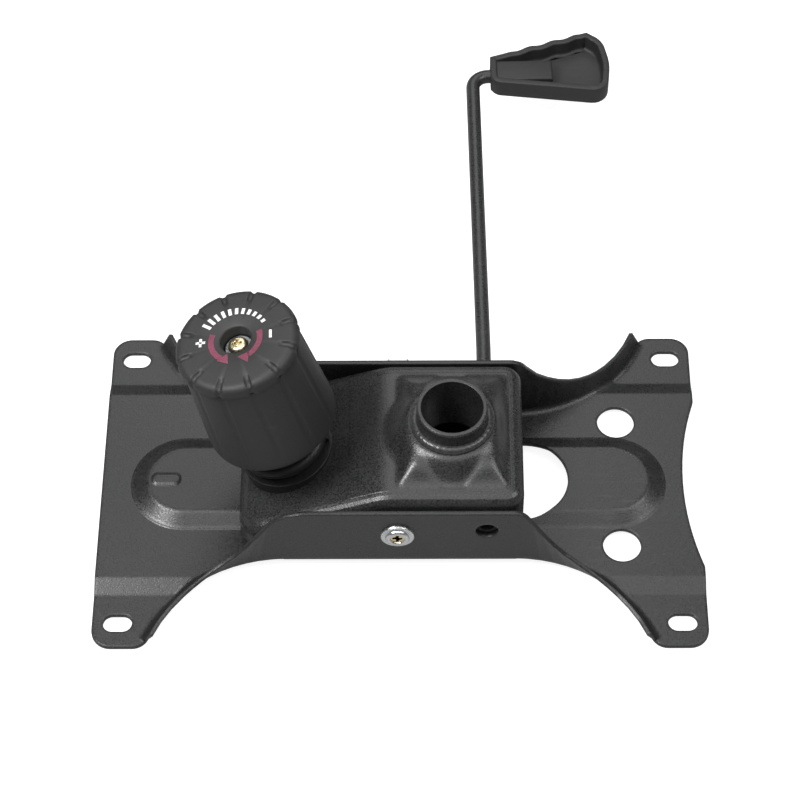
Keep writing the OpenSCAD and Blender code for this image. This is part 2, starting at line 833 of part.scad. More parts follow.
// Washer that stops the knob at the bolt's end
module stop_washer() {
    color("#c9cbcd")
        on_bolt(bolt_end)
            difference() {
                cylinder(r = stop_r, h = stop_t);
                translate([0, 0, -1])
                    cylinder(r = screw_d / 2 + bolt_fit, h = stop_t + 2);
            }
}

// Cross-head screw that holds the stop washer
module stop_screw() {
    head_r = screw_d / 2 + screw_head_out;
    color("#d6c27a")
        on_bolt(bolt_end + stop_t)
            difference() {
                union() {
                    translate([0, 0, -screw_len])
                        cylinder(d = screw_d, h = screw_len + screw_head_h / 4);
                    cylinder(r1 = head_r, r2 = head_r - screw_head_draw, h = screw_head_h);
                }
                for (a = [0, 90])
                    rotate([0, 0, a])
                        translate([-cross_len / 2, -cross_w / 2, screw_head_h - cross_depth])
                            cube([cross_len, cross_w, cross_depth + 1]);
            }
}

// Height of the bracket's outer face at x: level, a rounded break, then the slope
function face_z(x) =
    let (d = slope_x + break_len / 2 - x)
    bracket_z - (d < 0 ? 0
        : d < break_len ? d * d * tan(slope) / (2 * break_len)
        : (d - break_len / 2) * tan(slope));

// Height of the bracket's inner face at x
function inner_z(x) =
    let (d = slope_x + break_len / 2 - x)
    let (grade = tan(slope) * max(0, min(1, d / break_len)))
    face_z(x) - bracket_t * sqrt(1 + grade * grade);

// Height of the wall's lower edge at x
function wall_low(x) =
    x < pivot_x ? front_low : front_low + (rear_low - front_low) * (x - pivot_x) / (bracket_rear - pivot_x);

// One side of the bracket's plan, from its rear to its front, moved inwards by inset
function pan_side(inset) =
    let (rear = rear_corner_r - inset, front = front_corner_r - inset)
    let (rx = bracket_rear - rear_corner_r, ry = wall_y - rear_corner_r)
    let (fx = front_corner_r - bracket_front, fy = wall_y - front_corner_r)
    concat(
        [for (a = [0:15:90]) [rx + rear * cos(a), ry + rear * sin(a)]],
        [for (i = [0:6]) [slope_x + break_len * (0.5 - i / 6), wall_y - inset]],
        [for (a = [90:15:180]) [fx + front * cos(a), fy + front * sin(a)]]
    );

// The whole plan loop: one side, then its mirror image back to the rear
function pan_loop(inset) =
    let (side = pan_side(inset))
    concat(side, [for (i = [len(side) - 1:-1:0]) [side[i][0], -side[i][1]]]);

// The drawn pan: outer face and edge, wall, inner edge and inner face as one closed shell
module pan() {
    steps = 5;
    inner_r = edge_r - bracket_t;
    loops = concat(
        [for (k = [0:steps])
            [for (p = pan_loop(edge_r * (1 - sin(90 * k / steps))))
                [p[0], p[1], face_z(p[0]) - edge_r * (1 - cos(90 * k / steps))]]],
        [for (inset = [0, bracket_t])
            [for (p = pan_loop(inset)) [p[0], p[1], wall_low(p[0])]]],
        [for (k = [steps:-1:0])
            [for (p = pan_loop(edge_r - inner_r * sin(90 * k / steps)))
                [p[0], p[1], inner_z(p[0]) - inner_r * (1 - cos(90 * k / steps))]]]
    );
    shell(loops);
}

// The pressed gussets that ramp from the boss down to the bracket's face, and their hollows below
module gussets(depth) {
    half = gusset_w / 2 + depth * (gusset_w - gusset_top_w) / (2 * gusset_h);
    foot = boss_top_r / 2;
    for (x = [-1, 1], y = [0, 1])
        translate([socket_x + x * gusset_dx, 0, bracket_z])
            mirror([0, y, 0])
                intersection() {
                    rotate([90, 0, 90])
                        linear_extrude(2 * half, center = true)
                            polygon([
                                [foot, -depth], [gusset_end, -depth], [gusset_end, 0],
                                [gusset_y, gusset_h], [foot, gusset_h]
                            ]);
                    across(2 * gusset_end)
                        polygon([
                            [-half, -depth], [half, -depth],
                            [gusset_top_w / 2, gusset_h], [-gusset_top_w / 2, gusset_h]
                        ]);
                }
}

// Slot for the tension bolt, long enough for the tilt
module bolt_slot() {
    low = face_s - spring_seat_r;
    run = seat_s + collar_up + 1 - low;
    on_bolt(low) {
        cylinder(r = slot_r, h = run);
        translate([-slot_shift, 0, 0])
            cylinder(r = slot_r, h = run);
        translate([-slot_shift, -slot_r, 0])
            cube([slot_shift, 2 * slot_r, run]);
    }
}

// The drawn base bracket with its boss and sloping front
module base_bracket() {
    boss_foot_r = boss_top_r + boss_spread * (boss_h + bracket_t) / boss_h;
    color("#444547")
        difference() {
            union() {
                pan();
                translate([socket_x, 0, bracket_z - bracket_t])
                    cylinder(r1 = boss_foot_r, r2 = boss_top_r, h = boss_h + bracket_t, $fn = 96);
                gussets(bracket_t / 2);
            }
            translate([0, 0, -bracket_t])
                gussets(bracket_t);
            translate([socket_x, 0, bracket_z - 2 * bracket_t])
                cylinder(r1 = boss_foot_r, r2 = boss_top_r, h = boss_h + bracket_t, $fn = 96);
            translate([pivot_x, 0, pivot_z])
                y_cylinder(bush_r + fixed_fit, -wall_y - 1, wall_y + 1);
            translate([lever_x, 0, lever_z])
                y_cylinder(lever_bush_r + running_fit, -wall_y - 1, wall_y + 1);
            translate([socket_x, 0, bracket_z - 2 * bracket_t])
                cylinder(r = socket_r + fixed_fit, h = boss_h + 3 * bracket_t);
            translate([pivot_x, gauge_y, bracket_z - gauge_depth])
                cylinder(d = gauge_d, h = 2 * gauge_depth);
            bolt_slot();
        }
}

// Tapered socket for the gas lift, with the weld bead round its foot
module taper_socket() {
    mouth_r = socket_bore / 2;
    inner_r = mouth_r - socket_len * tan(taper);
    color("#2f3032")
        translate([socket_x, 0, 0])
            rotate_extrude($fn = 96) {
                polygon([
                    [inner_r, socket_foot], [socket_r, socket_foot], [socket_r, mouth_z - mouth_chamfer],
                    [socket_r - mouth_chamfer, mouth_z], [mouth_r, mouth_z]
                ]);
                intersection() {
                    translate([socket_r, boss_top + fixed_fit])
                        circle(r = bead_r, $fn = 32);
                    translate([socket_r - socket_wall / 2, boss_top + fixed_fit])
                        square([2 * bead_r + socket_wall, 2 * bead_r]);
                }
            }
}

// Plate inside the bracket that holds the socket's inner end
module socket_brace() {
    z0 = socket_foot + brace_up;
    half = wall_in - fixed_fit;
    color("#37383a")
        translate([socket_x, 0, z0])
            difference() {
                union() {
                    translate([-brace_len / 2, -half, 0])
                        cube([brace_len, 2 * half, brace_t]);
                    for (y = [-1, 1])
                        translate([-brace_len / 2, y > 0 ? half - brace_t : -half, 0])
                            cube([brace_len, brace_t, lip_h]);
                }
                translate([0, 0, -1])
                    cylinder(r = socket_r + fixed_fit, h = lip_h + 2);
            }
}

// Flanged bush in one of the bracket's walls
module pivot_bush() {
    flange_face = flange_in - moving_gap;
    color("#2e2f31")
        translate([pivot_x, 0, pivot_z])
            difference() {
                union() {
                    y_cylinder(bush_r, wall_y - bush_len, wall_y);
                    y_cylinder(bush_r + bush_flange_out, wall_y, flange_face);
                }
                y_cylinder(sleeve_r + running_fit, wall_y - bush_len - 1, flange_face + 1);
            }
}

module pivot_bush_far() pivot_bush();

module pivot_bush_near() mirror([0, 1, 0]) pivot_bush();

// Wedge ring on the bracket's slope that carries the spring square to the bolt
module spring_seat() {
    color("#2b2c2e")
        difference() {
            union() {
                on_bolt(seat_s - spring_seat_r)
                    cylinder(r = spring_seat_r, h = spring_seat_r);
                on_bolt(seat_s - 1)
                    cylinder(r = collar_r, h = collar_up + 1);
            }
            translate([slope_x, 0, bracket_z + fixed_fit])
                rotate([0, -slope, 0])
                    translate([-far / 2, -far / 2, -far])
                        cube([far, far, far]);
            bolt_slot();
        }
}

// Centre of the spring's wire at turn u, with close turns at both ends
function coil_lift(u) =
    let (dead = wire_d + dead_gap)
    let (live = (spring_high - spring_low - 2 * dead) / (coils - 2))
    u < 1 ? u * dead
        : u > coils - 1 ? spring_high - spring_low - (coils - u) * dead
        : dead + (u - 1) * live;

function coil_point(u) = [coil_r * cos(360 * u), coil_r * sin(360 * u), spring_low + coil_lift(u)];

coil_path = let (n = 8 * coils)
    concat(
        [coil_point(0) + [0, -wire_d, 0]],
        [for (i = [0:n]) coil_point(i / 8)],
        [coil_point(coils) + wire_d * [-sin(360 * coils), cos(360 * coils), 0]]
    );

// Least gap between the spring's turns, measured between wire centres a turn or more apart
coil_gap = min([
    for (i = [0:len(coil_path) - 1], j = [i + 5:1:len(coil_path) - 1])
        norm(coil_path[i] - coil_path[j])
]) - wire_d;

// A tube with triangular faces along a path
module tube(path, r, sides) {
    n = len(path);
    points = [
        for (i = [0:n - 1])
            let (t = path[min(i + 1, n - 1)] - path[max(i - 1, 0)])
            let (d = t / norm(t))
            let (a = cross(d, [0, 0, 1]))
            let (e = a / norm(a))
            let (f = cross(e, d))
            for (k = [0:sides - 1])
                path[i] + r * (cos(360 * k / sides) * e + sin(360 * k / sides) * f)
    ];
    faces = concat(
        [for (k = [1:sides - 2]) [0, k + 1, k]],
        [for (i = [0:n - 2], k = [0:sides - 1], h = [0, 1])
            let (a = i * sides + k, b = i * sides + (k + 1) % sides)
            h == 0 ? [a, b, b + sides] : [a, b + sides, a + sides]],
        [for (k = [1:sides - 2]) [(n - 1) * sides, (n - 1) * sides + k, (n - 1) * sides + k + 1]]
    );
    polyhedron(points = points, faces = faces);
}

// Coil spring between its seat and the thrust washer
module tension_spring() {
    echo(least_gap_between_turns = coil_gap);
    color("#1d1e20")
        on_bolt(0)
            tube(coil_path, wire_d / 2, 6);
}

// Washer between the spring and the turning knob
module thrust_washer() {
    color("#a7aaad")
        on_bolt(thrust_s)
            difference() {
                cylinder(r = thrust_r, h = thrust_t);
                translate([0, 0, -1])
                    cylinder(r = hub_r + moving_gap, h = thrust_t + 2);
            }
}

// The knob's outer form before its grooves
module knob_body() {
    lip = knob_h - knob_lip_h;
    rotate_extrude($fn = 144) {
        polygon([
            [0, 0], [foot_r, 0], [foot_r, knob_band], [neck_r, lip], [lip_r, lip + knob_lip_run],
            [lip_r, knob_h - knob_round], [0, knob_h - knob_round]
        ]);
        square([lip_r - knob_round, knob_h]);
        translate([lip_r - knob_round, knob_h - knob_round])
            circle(r = knob_round, $fn = 48);
    }
}

// Moulded knob: a cup round the spring with a hub for the nut
module tension_knob() {
    flank = atan(knob_spread / (knob_h - knob_lip_h - knob_band));
    color("#333436")
        on_bolt(knob_foot)
            difference() {
                knob_body();
                difference() {
                    translate([0, 0, -1])
                        cylinder(r = cavity_r, h = ceiling + 1, $fn = 96);
                    translate([0, 0, nut_floor])
                        cylinder(r = hub_r, h = knob_h);
                }
                translate([0, 0, recess_floor])
                    cylinder(r = stop_r + recess_room, h = knob_h);
                cylinder(r = bolt_d / 2 + moving_gap, h = knob_h);
                translate([0, 0, nut_floor - 1])
                    cylinder(r = nut_corner_r + fixed_fit, h = knob_nut_h + 1, $fn = 6);
                for (i = [0:grooves - 1])
                    rotate([0, 0, (i + 0.5) * 360 / grooves]) {
                        translate([foot_r + groove_r - groove_depth, 0, knob_band])
                            rotate([0, -flank, 0])
                                cylinder(r = groove_r, h = knob_h);
                        translate([lip_r - notch_len, -notch_w / 2, knob_h - notch_depth])
                            cube([notch_len + 1, notch_w, notch_depth + 1]);
                    }
            }
}

// Hexagon nut held in the knob's hub
module knob_nut() {
    color("#c3c5c8")
        on_bolt(knob_foot + nut_floor)
            difference() {
                cylinder(r = nut_corner_r, h = knob_nut_h, $fn = 6);
                translate([0, 0, -1])
                    cylinder(r = bolt_d / 2 + bolt_fit, h = knob_nut_h + 2);
            }
}

// Flanged bush for the lever, with a barb behind the wall
module lever_bush() {
    seat = wall_y + running_fit;
    color("#2e2f31")
        translate([lever_x, 0, lever_z])
            difference() {
                union() {
                    y_cylinder(lever_bush_r, lever_bush_low, seat);
                    y_cylinder(lever_bush_r + lever_flange_out, seat, flange_in - 2 * moving_gap);
                    translate([0, lever_bush_low, 0])
                        rotate([-90, 0, 0])
                            cylinder(
                                r1 = lever_bush_r, r2 = lever_bush_r + barb,
                                h = lever_bush_len - running_fit
                            );
                }
                y_cylinder(rod_r + sliding_fit, lever_bush_low - 1, flange_in);
            }
}

module lever_bush_far() lever_bush();

module lever_bush_near() mirror([0, 1, 0]) lever_bush();

// Places the children at the start of the rod's outer run
module on_lever() {
    translate([lever_x, rod_turn, lever_z])
        rotate([0, 0, rod_lean])
            children();
}

// Bent rod with the finger that presses the gas lift's button
module lever_rod() {
    reach = lever_off + finger_past;
    color("#3d3e40") {
        translate([lever_x, 0, lever_z]) {
            y_cylinder(rod_r, rod_end, rod_turn);
            translate([-reach + finger_w / 2, lock_travel / 2, rod_r - finger_t]) {
                translate([0, -finger_w / 2, 0])
                    cube([reach - finger_w / 2, finger_w, finger_t]);
                cylinder(d = finger_w, h = finger_t);
            }
        }
        on_lever() {
            sphere(r = rod_r);
            y_cylinder(rod_r, 0, rod_outer);
            translate([rod_bend_r, rod_outer, 0])
                rotate([0, 0, 90])
                    rotate_extrude(angle = 90)
                        translate([rod_bend_r, 0])
                            circle(r = rod_r);
            translate([rod_bend_r, rod_outer + rod_bend_r, 0])
                rotate([0, 90, 0])
                    cylinder(r = rod_r, h = rod_tip);
        }
    }
}

// The handle in plan from its inner end: a wedge with round tip corners and finger scallops
module handle_plan(inset) {
    grade = (far_out - far_in) / handle_len;
    tip = handle_len - handle_r;
    difference() {
        union() {
            polygon([
                [inset, inset - near_in], [tip, inset - near_out],
                [handle_len - inset, handle_r - near_out],
                [handle_len - inset, far_out - handle_r], [tip, far_out - inset], [inset, far_in - inset]
            ]);
            translate([tip, handle_r - near_out])
                circle(r = handle_r - inset);
            translate([tip, far_out - handle_r])
                circle(r = handle_r - inset);
        }
        for (i = [0:2])
            let (x = scallop_x + scallop_dx * i)
            translate([x, far_in + grade * x + scallop_r - scallop_depth])
                circle(r = scallop_r + inset);
    }
}

// Moulded handle, hollow on the side away from the seat, with a boss for the rod
module lever_handle() {
    boss_w = rod_d + 2 * rod_boss_wall;
    color("#2e2f31")
        on_lever()
            translate([rod_bend_r + moving_gap, rod_outer + rod_bend_r, -handle_h / 2])
                difference() {
                    union() {
                        linear_extrude(handle_floor)
                            handle_plan(0);
                        difference() {
                            linear_extrude(handle_h)
                                handle_plan(0);
                            translate([0, 0, -1])
                                linear_extrude(handle_h + 2)
                                    handle_plan(handle_wall);
                        }
                        translate([0, -boss_w / 2, 0])
                            cube([boss_len, boss_w, handle_h - boss_drop]);
                    }
                    translate([-1, 0, handle_h / 2])
                        rotate([0, 90, 0])
                            cylinder(r = rod_r + fixed_fit, h = rod_tip + 1);
                }
}

seat_plate();
pivot_bolt();
pivot_nut();
pivot_sleeve();
tension_bolt();
stop_washer();
stop_screw();
base_bracket();
taper_socket();
socket_brace();
pivot_bush_near();
pivot_bush_far();
spring_seat();
tension_spring();
thrust_washer();
tension_knob();
knob_nut();
lever_bush_near();
lever_bush_far();
lever_rod();
lever_handle();
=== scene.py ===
# %% [markdown]
# # The tilt mechanism of an office chair
# This steel unit is bolted under a chair's seat and sits on the gas lift.
# It lies here with its seat side down, as it does on a work bench.
# The solids come from the part's own source. This lesson gives them their finishes,
# and models the pieces whose fine shape is easier to make in Blender.

# %% Load the solids
import math

import bmesh
import bpy
from mathutils import Matrix, Vector


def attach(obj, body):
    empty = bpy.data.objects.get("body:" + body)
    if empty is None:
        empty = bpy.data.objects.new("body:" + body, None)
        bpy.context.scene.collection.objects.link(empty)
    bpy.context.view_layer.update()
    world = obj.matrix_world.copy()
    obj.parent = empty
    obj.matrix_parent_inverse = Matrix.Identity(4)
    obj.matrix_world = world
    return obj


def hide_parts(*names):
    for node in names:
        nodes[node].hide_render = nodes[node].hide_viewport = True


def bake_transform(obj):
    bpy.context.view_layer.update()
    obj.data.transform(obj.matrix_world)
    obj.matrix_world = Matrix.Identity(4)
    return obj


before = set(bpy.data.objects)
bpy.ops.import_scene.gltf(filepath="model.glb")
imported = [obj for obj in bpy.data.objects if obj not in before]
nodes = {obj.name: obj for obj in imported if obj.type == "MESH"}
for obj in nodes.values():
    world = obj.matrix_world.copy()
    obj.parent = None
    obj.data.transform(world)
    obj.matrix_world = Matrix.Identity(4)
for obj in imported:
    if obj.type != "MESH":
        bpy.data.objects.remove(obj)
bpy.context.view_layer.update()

# %% [markdown]
# ## Fine grain
# Paint on pressed steel is never quite even: it has a fine grain and a slow swell like orange peel.
# Moulded plastic has a grain too, etched into its mould. An image could carry it, but a texture
# made by noise has no seams. One node group holds it, and each finish sets its own scales.

# %% Node group for grain
def new_group(name, inputs, outputs):
    group = bpy.data.node_groups.new(name, "ShaderNodeTree")
    for label, value in inputs:
        socket = group.interface.new_socket(label, in_out="INPUT", socket_type="NodeSocketFloat")
        socket.default_value = value
    for label, kind in outputs:
        group.interface.new_socket(label, in_out="OUTPUT", socket_type=kind)
    return group, group.nodes.new("NodeGroupInput"), group.nodes.new("NodeGroupOutput")


def noise(tree, place, scale, detail, roughness=0.5):
    texture = tree.nodes.new("ShaderNodeTexNoise")
    texture.inputs["Detail"].default_value = detail
    texture.inputs["Roughness"].default_value = roughness
    tree.links.new(place, texture.inputs["Vector"])
    if isinstance(scale, (int, float)):
        texture.inputs["Scale"].default_value = scale
    else:
        tree.links.new(scale, texture.inputs["Scale"])
    return texture.outputs["Fac"]


def sums(tree, kind, first, second):
    node = tree.nodes.new("ShaderNodeMath")
    node.operation = kind
    for i, value in enumerate((first, second)):
        if isinstance(value, (int, float)):
            node.inputs[i].default_value = value
        else:
            tree.links.new(value, node.inputs[i])
    return node.outputs[0]


def ranged(tree, value, low, high, to_low=0.0, to_high=1.0):
    node = tree.nodes.new("ShaderNodeMapRange")
    tree.links.new(value, node.inputs["Value"])
    for label, number in (("From Min", low), ("From Max", high), ("To Min", to_low), ("To Max", to_high)):
        node.inputs[label].default_value = number
    return node.outputs["Result"]


grain, given, made = new_group(
    "surface_grain",
    [("Grain Scale", 900.0), ("Swell Scale", 120.0), ("Swell Share", 0.5), ("Cloud Scale", 22.0)],
    [("Height", "NodeSocketFloat"), ("Tone", "NodeSocketFloat")],
)
place = grain.nodes.new("ShaderNodeTexCoord").outputs["Object"]
fine = noise(grain, place, given.outputs["Grain Scale"], 2.0)
swell = noise(grain, place, given.outputs["Swell Scale"], 1.0)
swollen = sums(grain, "MULTIPLY", swell, given.outputs["Swell Share"])
grain.links.new(sums(grain, "ADD", fine, swollen), made.inputs["Height"])
cloud = noise(grain, place, given.outputs["Cloud Scale"], 4.0, 0.62)
speckle = ranged(grain, fine, 0.3, 0.7)
grain.links.new(ranged(grain, sums(grain, "ADD", cloud, speckle), 0.45, 1.55), made.inputs["Tone"])
print("node group:", grain.name)

# %% [markdown]
# ## Wear
# Where hands and tools touch a finish it gets small scuffs. A long, stretched noise gives the
# strokes, and a broad one decides where they lie, so they come in patches as real scuffs do.

# %% Node group for scuffs
wear, given, made = new_group(
    "handling_wear",
    [("Stroke Scale", 60.0), ("Patch Scale", 14.0), ("Amount", 0.5)],
    [("Scuff", "NodeSocketFloat")],
)
place = wear.nodes.new("ShaderNodeTexCoord").outputs["Object"]
stretch = wear.nodes.new("ShaderNodeMapping")
stretch.inputs["Rotation"].default_value = (0.3, 0.2, 0.6)
stretch.inputs["Scale"].default_value = (1.0, 9.0, 4.0)
wear.links.new(place, stretch.inputs["Vector"])
stroke = ranged(wear, noise(wear, stretch.outputs["Vector"], given.outputs["Stroke Scale"], 3.0), 0.58, 0.74)
patch = ranged(wear, noise(wear, place, given.outputs["Patch Scale"], 2.0), 0.5, 0.7)
both = sums(wear, "MULTIPLY", stroke, patch)
wear.links.new(sums(wear, "MULTIPLY", both, given.outputs["Amount"]), made.inputs["Scuff"])
print("node group:", wear.name)

# %% [markdown]
# ## Edges
# No pressed or moulded edge is perfectly sharp, and the small round on it catches the light.
# Cutting a round into every edge would cost many faces, so the Bevel node bends the normals there,
# and the amount that it bends them is a mask of the edges. The finishes paint that mask paler,
# partly as wear and partly as a painted highlight.

# %% Node group for edges
edges, given, made = new_group(
    "soft_edges", [("Radius", 0.0007)], [("Normal", "NodeSocketVector"), ("Edge", "NodeSocketFloat")]
)
rounder = edges.nodes.new("ShaderNodeBevel")
rounder.samples = 6
edges.links.new(given.outputs["Radius"], rounder.inputs["Radius"])
flat = edges.nodes.new("ShaderNodeNewGeometry")
match = edges.nodes.new("ShaderNodeVectorMath")
match.operation = "DOT_PRODUCT"
edges.links.new(rounder.outputs["Normal"], match.inputs[0])
edges.links.new(flat.outputs["Normal"], match.inputs[1])
edges.links.new(rounder.outputs["Normal"], made.inputs["Normal"])
edges.links.new(ranged(edges, match.outputs["Value"], 0.995, 0.82), made.inputs["Edge"])
print("node group:", edges.name)

# %% [markdown]
# ## Finishes
# Every finish is built from the same three groups with its own numbers: two tones that the grain
# mixes, a range of roughness, a bump depth, and a paler colour that paints scuffs as wear and edges
# as wear with a painted highlight.

# %% One recipe for all finishes
def blend_colours(tree, factor, first, second):
    mix = tree.nodes.new("ShaderNodeMix")
    mix.data_type = "RGBA"
    tree.links.new(factor, mix.inputs["Factor"])
    for socket, value in ((mix.inputs[6], first), (mix.inputs[7], second)):
        if isinstance(value, tuple):
            socket.default_value = value
        else:
            tree.links.new(value, socket)
    return mix.outputs[2]


def finish(name, tones, wear_and_highlight_colour, rough, bump, scales, metallic=0.0, edge=0.0007, wear_amount=0.5, share=0.5):
    material = bpy.data.materials.new(name)
    material.use_nodes = True
    tree = material.node_tree
    shader = tree.nodes["Principled BSDF"]
    shader.inputs["Metallic"].default_value = metallic
    parts = {}
    for group in (grain, wear, edges):
        node = tree.nodes.new("ShaderNodeGroup")
        node.node_tree = group
        parts[group.name] = node
    for label, value in zip(("Grain Scale", "Swell Scale", "Cloud Scale"), scales):
        parts["surface_grain"].inputs[label].default_value = value
    parts["surface_grain"].inputs["Swell Share"].default_value = share
    parts["handling_wear"].inputs["Amount"].default_value = wear_amount
    parts["soft_edges"].inputs["Radius"].default_value = edge
    tone = parts["surface_grain"].outputs["Tone"]
    scuff = parts["handling_wear"].outputs["Scuff"]
    # The edge mask is painted paler: partly edge wear, partly a painted highlight on the small rounds.
    rim = sums(tree, "MULTIPLY", parts["soft_edges"].outputs["Edge"], 0.45)
    wear_and_edge_highlight = sums(tree, "MAXIMUM", scuff, rim)
    colour = blend_colours(tree, tone, (*tones[0], 1.0), (*tones[1], 1.0))
    tree.links.new(blend_colours(tree, wear_and_edge_highlight, colour, (*wear_and_highlight_colour, 1.0)), shader.inputs["Base Color"])
    tree.links.new(ranged(tree, tone, 0.0, 1.0, *rough), shader.inputs["Roughness"])
    relief = tree.nodes.new("ShaderNodeBump")
    relief.inputs["Strength"].default_value = 0.6
    relief.inputs["Distance"].default_value = bump
    tree.links.new(parts["surface_grain"].outputs["Height"], relief.inputs["Height"])
    tree.links.new(parts["soft_edges"].outputs["Normal"], relief.inputs["Normal"])
    tree.links.new(relief.outputs["Normal"], shader.inputs["Normal"])
    return material


print("groups in every finish:", [group.name for group in (grain, wear, edges)])

# %% [markdown]
# ## Paint, plastic and plating
# The pressed steel is painted black; the bracket's coat is that black painted paler than the plate's, as
# painted light.
# The spring is black, darker still as painted shade under the knob; the knob and handle are moulded, and the
# fasteners are zinc plated.
# The three coats of paint share their gloss and grain and differ in tone and in their soft edges.

# %% The finishes of this mechanism
COAT_ROUGH, COAT_BUMP, COAT_SCALES = (0.23, 0.44), 0.00013, (1300, 150, 24)
black_coat = finish(
    "black_coat", [(0.006, 0.0062, 0.0066), (0.023, 0.0234, 0.0243)], (0.060, 0.061, 0.062),
    COAT_ROUGH, COAT_BUMP, COAT_SCALES, wear_amount=0.35,
)
# The bracket's coat: the plate's black painted paler, as painted light on the bracket.
bracket_coat_painted_light = finish(
    "bracket_coat_painted_light", [(0.009, 0.0092, 0.0097), (0.034, 0.0345, 0.0357)], (0.075, 0.076, 0.077),
    COAT_ROUGH, COAT_BUMP, COAT_SCALES, wear_amount=0.35,
)
plate_coat = finish(
    "plate_coat", [(0.006, 0.0062, 0.0066), (0.023, 0.0234, 0.0243)], (0.048, 0.049, 0.050),
    COAT_ROUGH, COAT_BUMP, COAT_SCALES, edge=0.0019, wear_amount=0.35,
)
# The spring's black is painted darker, as painted shade under the knob.
spring_black_painted_shade = finish(
    "spring_black_painted_shade", [(0.006, 0.006, 0.0065), (0.014, 0.014, 0.015)], (0.030, 0.030, 0.029),
    (0.44, 0.58), 0.00008, (900, 200, 40), wear_amount=0.5,
)
moulded_black = finish(
    "moulded_black", [(0.0115, 0.0117, 0.0121), (0.022, 0.0222, 0.0227)], (0.056, 0.056, 0.057),
    (0.52, 0.64), 0.00007, (1700, 300, 30), wear_amount=0.25, share=0.25,
)
dark_nylon = finish(
    "dark_nylon", [(0.020, 0.020, 0.021), (0.034, 0.034, 0.035)], (0.08, 0.08, 0.08),
    (0.42, 0.55), 0.00004, (1400, 260, 40), wear_amount=0.2,
)
bright_zinc = finish(
    "bright_zinc", [(0.50, 0.51, 0.52), (0.70, 0.71, 0.72)], (0.80, 0.80, 0.79),
    (0.24, 0.40), 0.00004, (1300, 400, 60), metallic=1.0, edge=0.0004, wear_amount=0.4,
)
yellow_zinc = finish(
    "yellow_zinc", [(0.65, 0.56, 0.36), (0.77, 0.69, 0.47)], (0.80, 0.74, 0.56),
    (0.22, 0.38), 0.00004, (1300, 420, 160), metallic=1.0, edge=0.0003, wear_amount=0.4,
)
turned_steel = finish(
    "turned_steel", [(0.36, 0.36, 0.37), (0.52, 0.52, 0.53)], (0.66, 0.66, 0.66),
    (0.28, 0.44), 0.00005, (1200, 300, 60), metallic=1.0, edge=0.0004, wear_amount=0.4,
)
print("finishes:", [material.name for material in bpy.data.materials])

# %% [markdown]
# ## Dress the solids
# A solid whose shape is right only needs its finish. The pressed pieces are painted black,
# fasteners are zinc plated, and the bushes are nylon.

# %% A finish for every solid
dress = {
    plate_coat: ["seat_plate"],
    bracket_coat_painted_light: ["base_bracket", "taper_socket", "socket_brace", "lever_rod"],
    spring_black_painted_shade: ["tension_spring", "spring_seat"],
    moulded_black: ["tension_knob", "lever_handle"],
    dark_nylon: ["pivot_bush_near", "pivot_bush_far", "lever_bush_near", "lever_bush_far"],
    bright_zinc: ["pivot_bolt", "pivot_nut", "stop_washer", "thrust_washer", "knob_nut", "tension_bolt"],
    yellow_zinc: ["stop_screw"],
    turned_steel: ["pivot_sleeve"],
}
for material, names in dress.items():
    for name in names:
        nodes[name].data.materials.clear()
        nodes[name].data.materials.append(material)
print("dressed:", sum(len(names) for names in dress.values()), "of", len(nodes))

# %% [markdown]
# ## From millimetres to the shared frame
# Pieces are modelled in millimetres, upright, and then laid in place.
# The tension bolt, its spring and its knob lean forward together, so one matrix serves them all.

# %% Helpers for new pieces
MM = Matrix.Scale(0.001, 4)
LEAN = math.radians(12.6)
on_bolt = Matrix.Translation((-0.0449, 0, 0)) @ Matrix.Rotation(-LEAN, 4, "Y") @ MM


def as_piece(name, bm, place, material, crease=35):
    bmesh.ops.remove_doubles(bm, verts=bm.verts, dist=0.001)
    bmesh.ops.recalc_face_normals(bm, faces=bm.faces)
    bm.transform(place)
    mesh = bpy.data.meshes.new(name)
    bm.to_mesh(mesh)
    bm.free()
    mesh.materials.append(material)
    mesh.shade_smooth()
    mesh.set_sharp_from_angle(angle=math.radians(crease))
    piece = bpy.data.objects.new(name, mesh)
    bpy.context.scene.collection.objects.link(piece)
    print(name, "faces:", len(mesh.polygons))
    return piece


print("the bolt leans forward by", round(math.degrees(LEAN), 1), "degrees")

# %% [markdown]
# ## The tension spring
# A compression spring of 6 mm wire stands between the bracket's seat and the washer under the knob.
# Its end turns lie close and are ground flat. A ring of wire is spun round the bolt's axis and
# lifted a little at each step: less for the end turns, more for the live ones.
# It is made in two lengths, a foot and a head.

# %% Spin the wire
WIRE_R, COIL_R, STEPS = 3.0, 18.0, 40
SEAT, WASHER, GROUND = 36.45, 105.25, 2.0
CLOSE = 6.6
foot_s, head_s = SEAT + WIRE_R - GROUND, WASHER - WIRE_R + GROUND
live = (head_s - foot_s - 2 * CLOSE) / 5


def wire_ring(bm, s):
    ring = bmesh.ops.create_circle(bm, segments=16, radius=WIRE_R)["verts"]
    bmesh.ops.rotate(bm, verts=ring, cent=(0, 0, 0), matrix=Matrix.Rotation(math.radians(90), 3, "X"))
    bmesh.ops.translate(bm, verts=ring, vec=(COIL_R, 0, s))
    return list({e for v in ring for e in v.link_edges})


def wind(bm, ring, turns, rise):
    steps = round(turns * STEPS)
    done = bmesh.ops.spin(
        bm, geom=ring, cent=(0, 0, 0), axis=(0, 0, 1), dvec=(0, 0, rise / STEPS),
        angle=turns * math.tau, steps=steps, use_merge=False,
    )
    return [g for g in done["geom_last"] if isinstance(g, bmesh.types.BMEdge)]


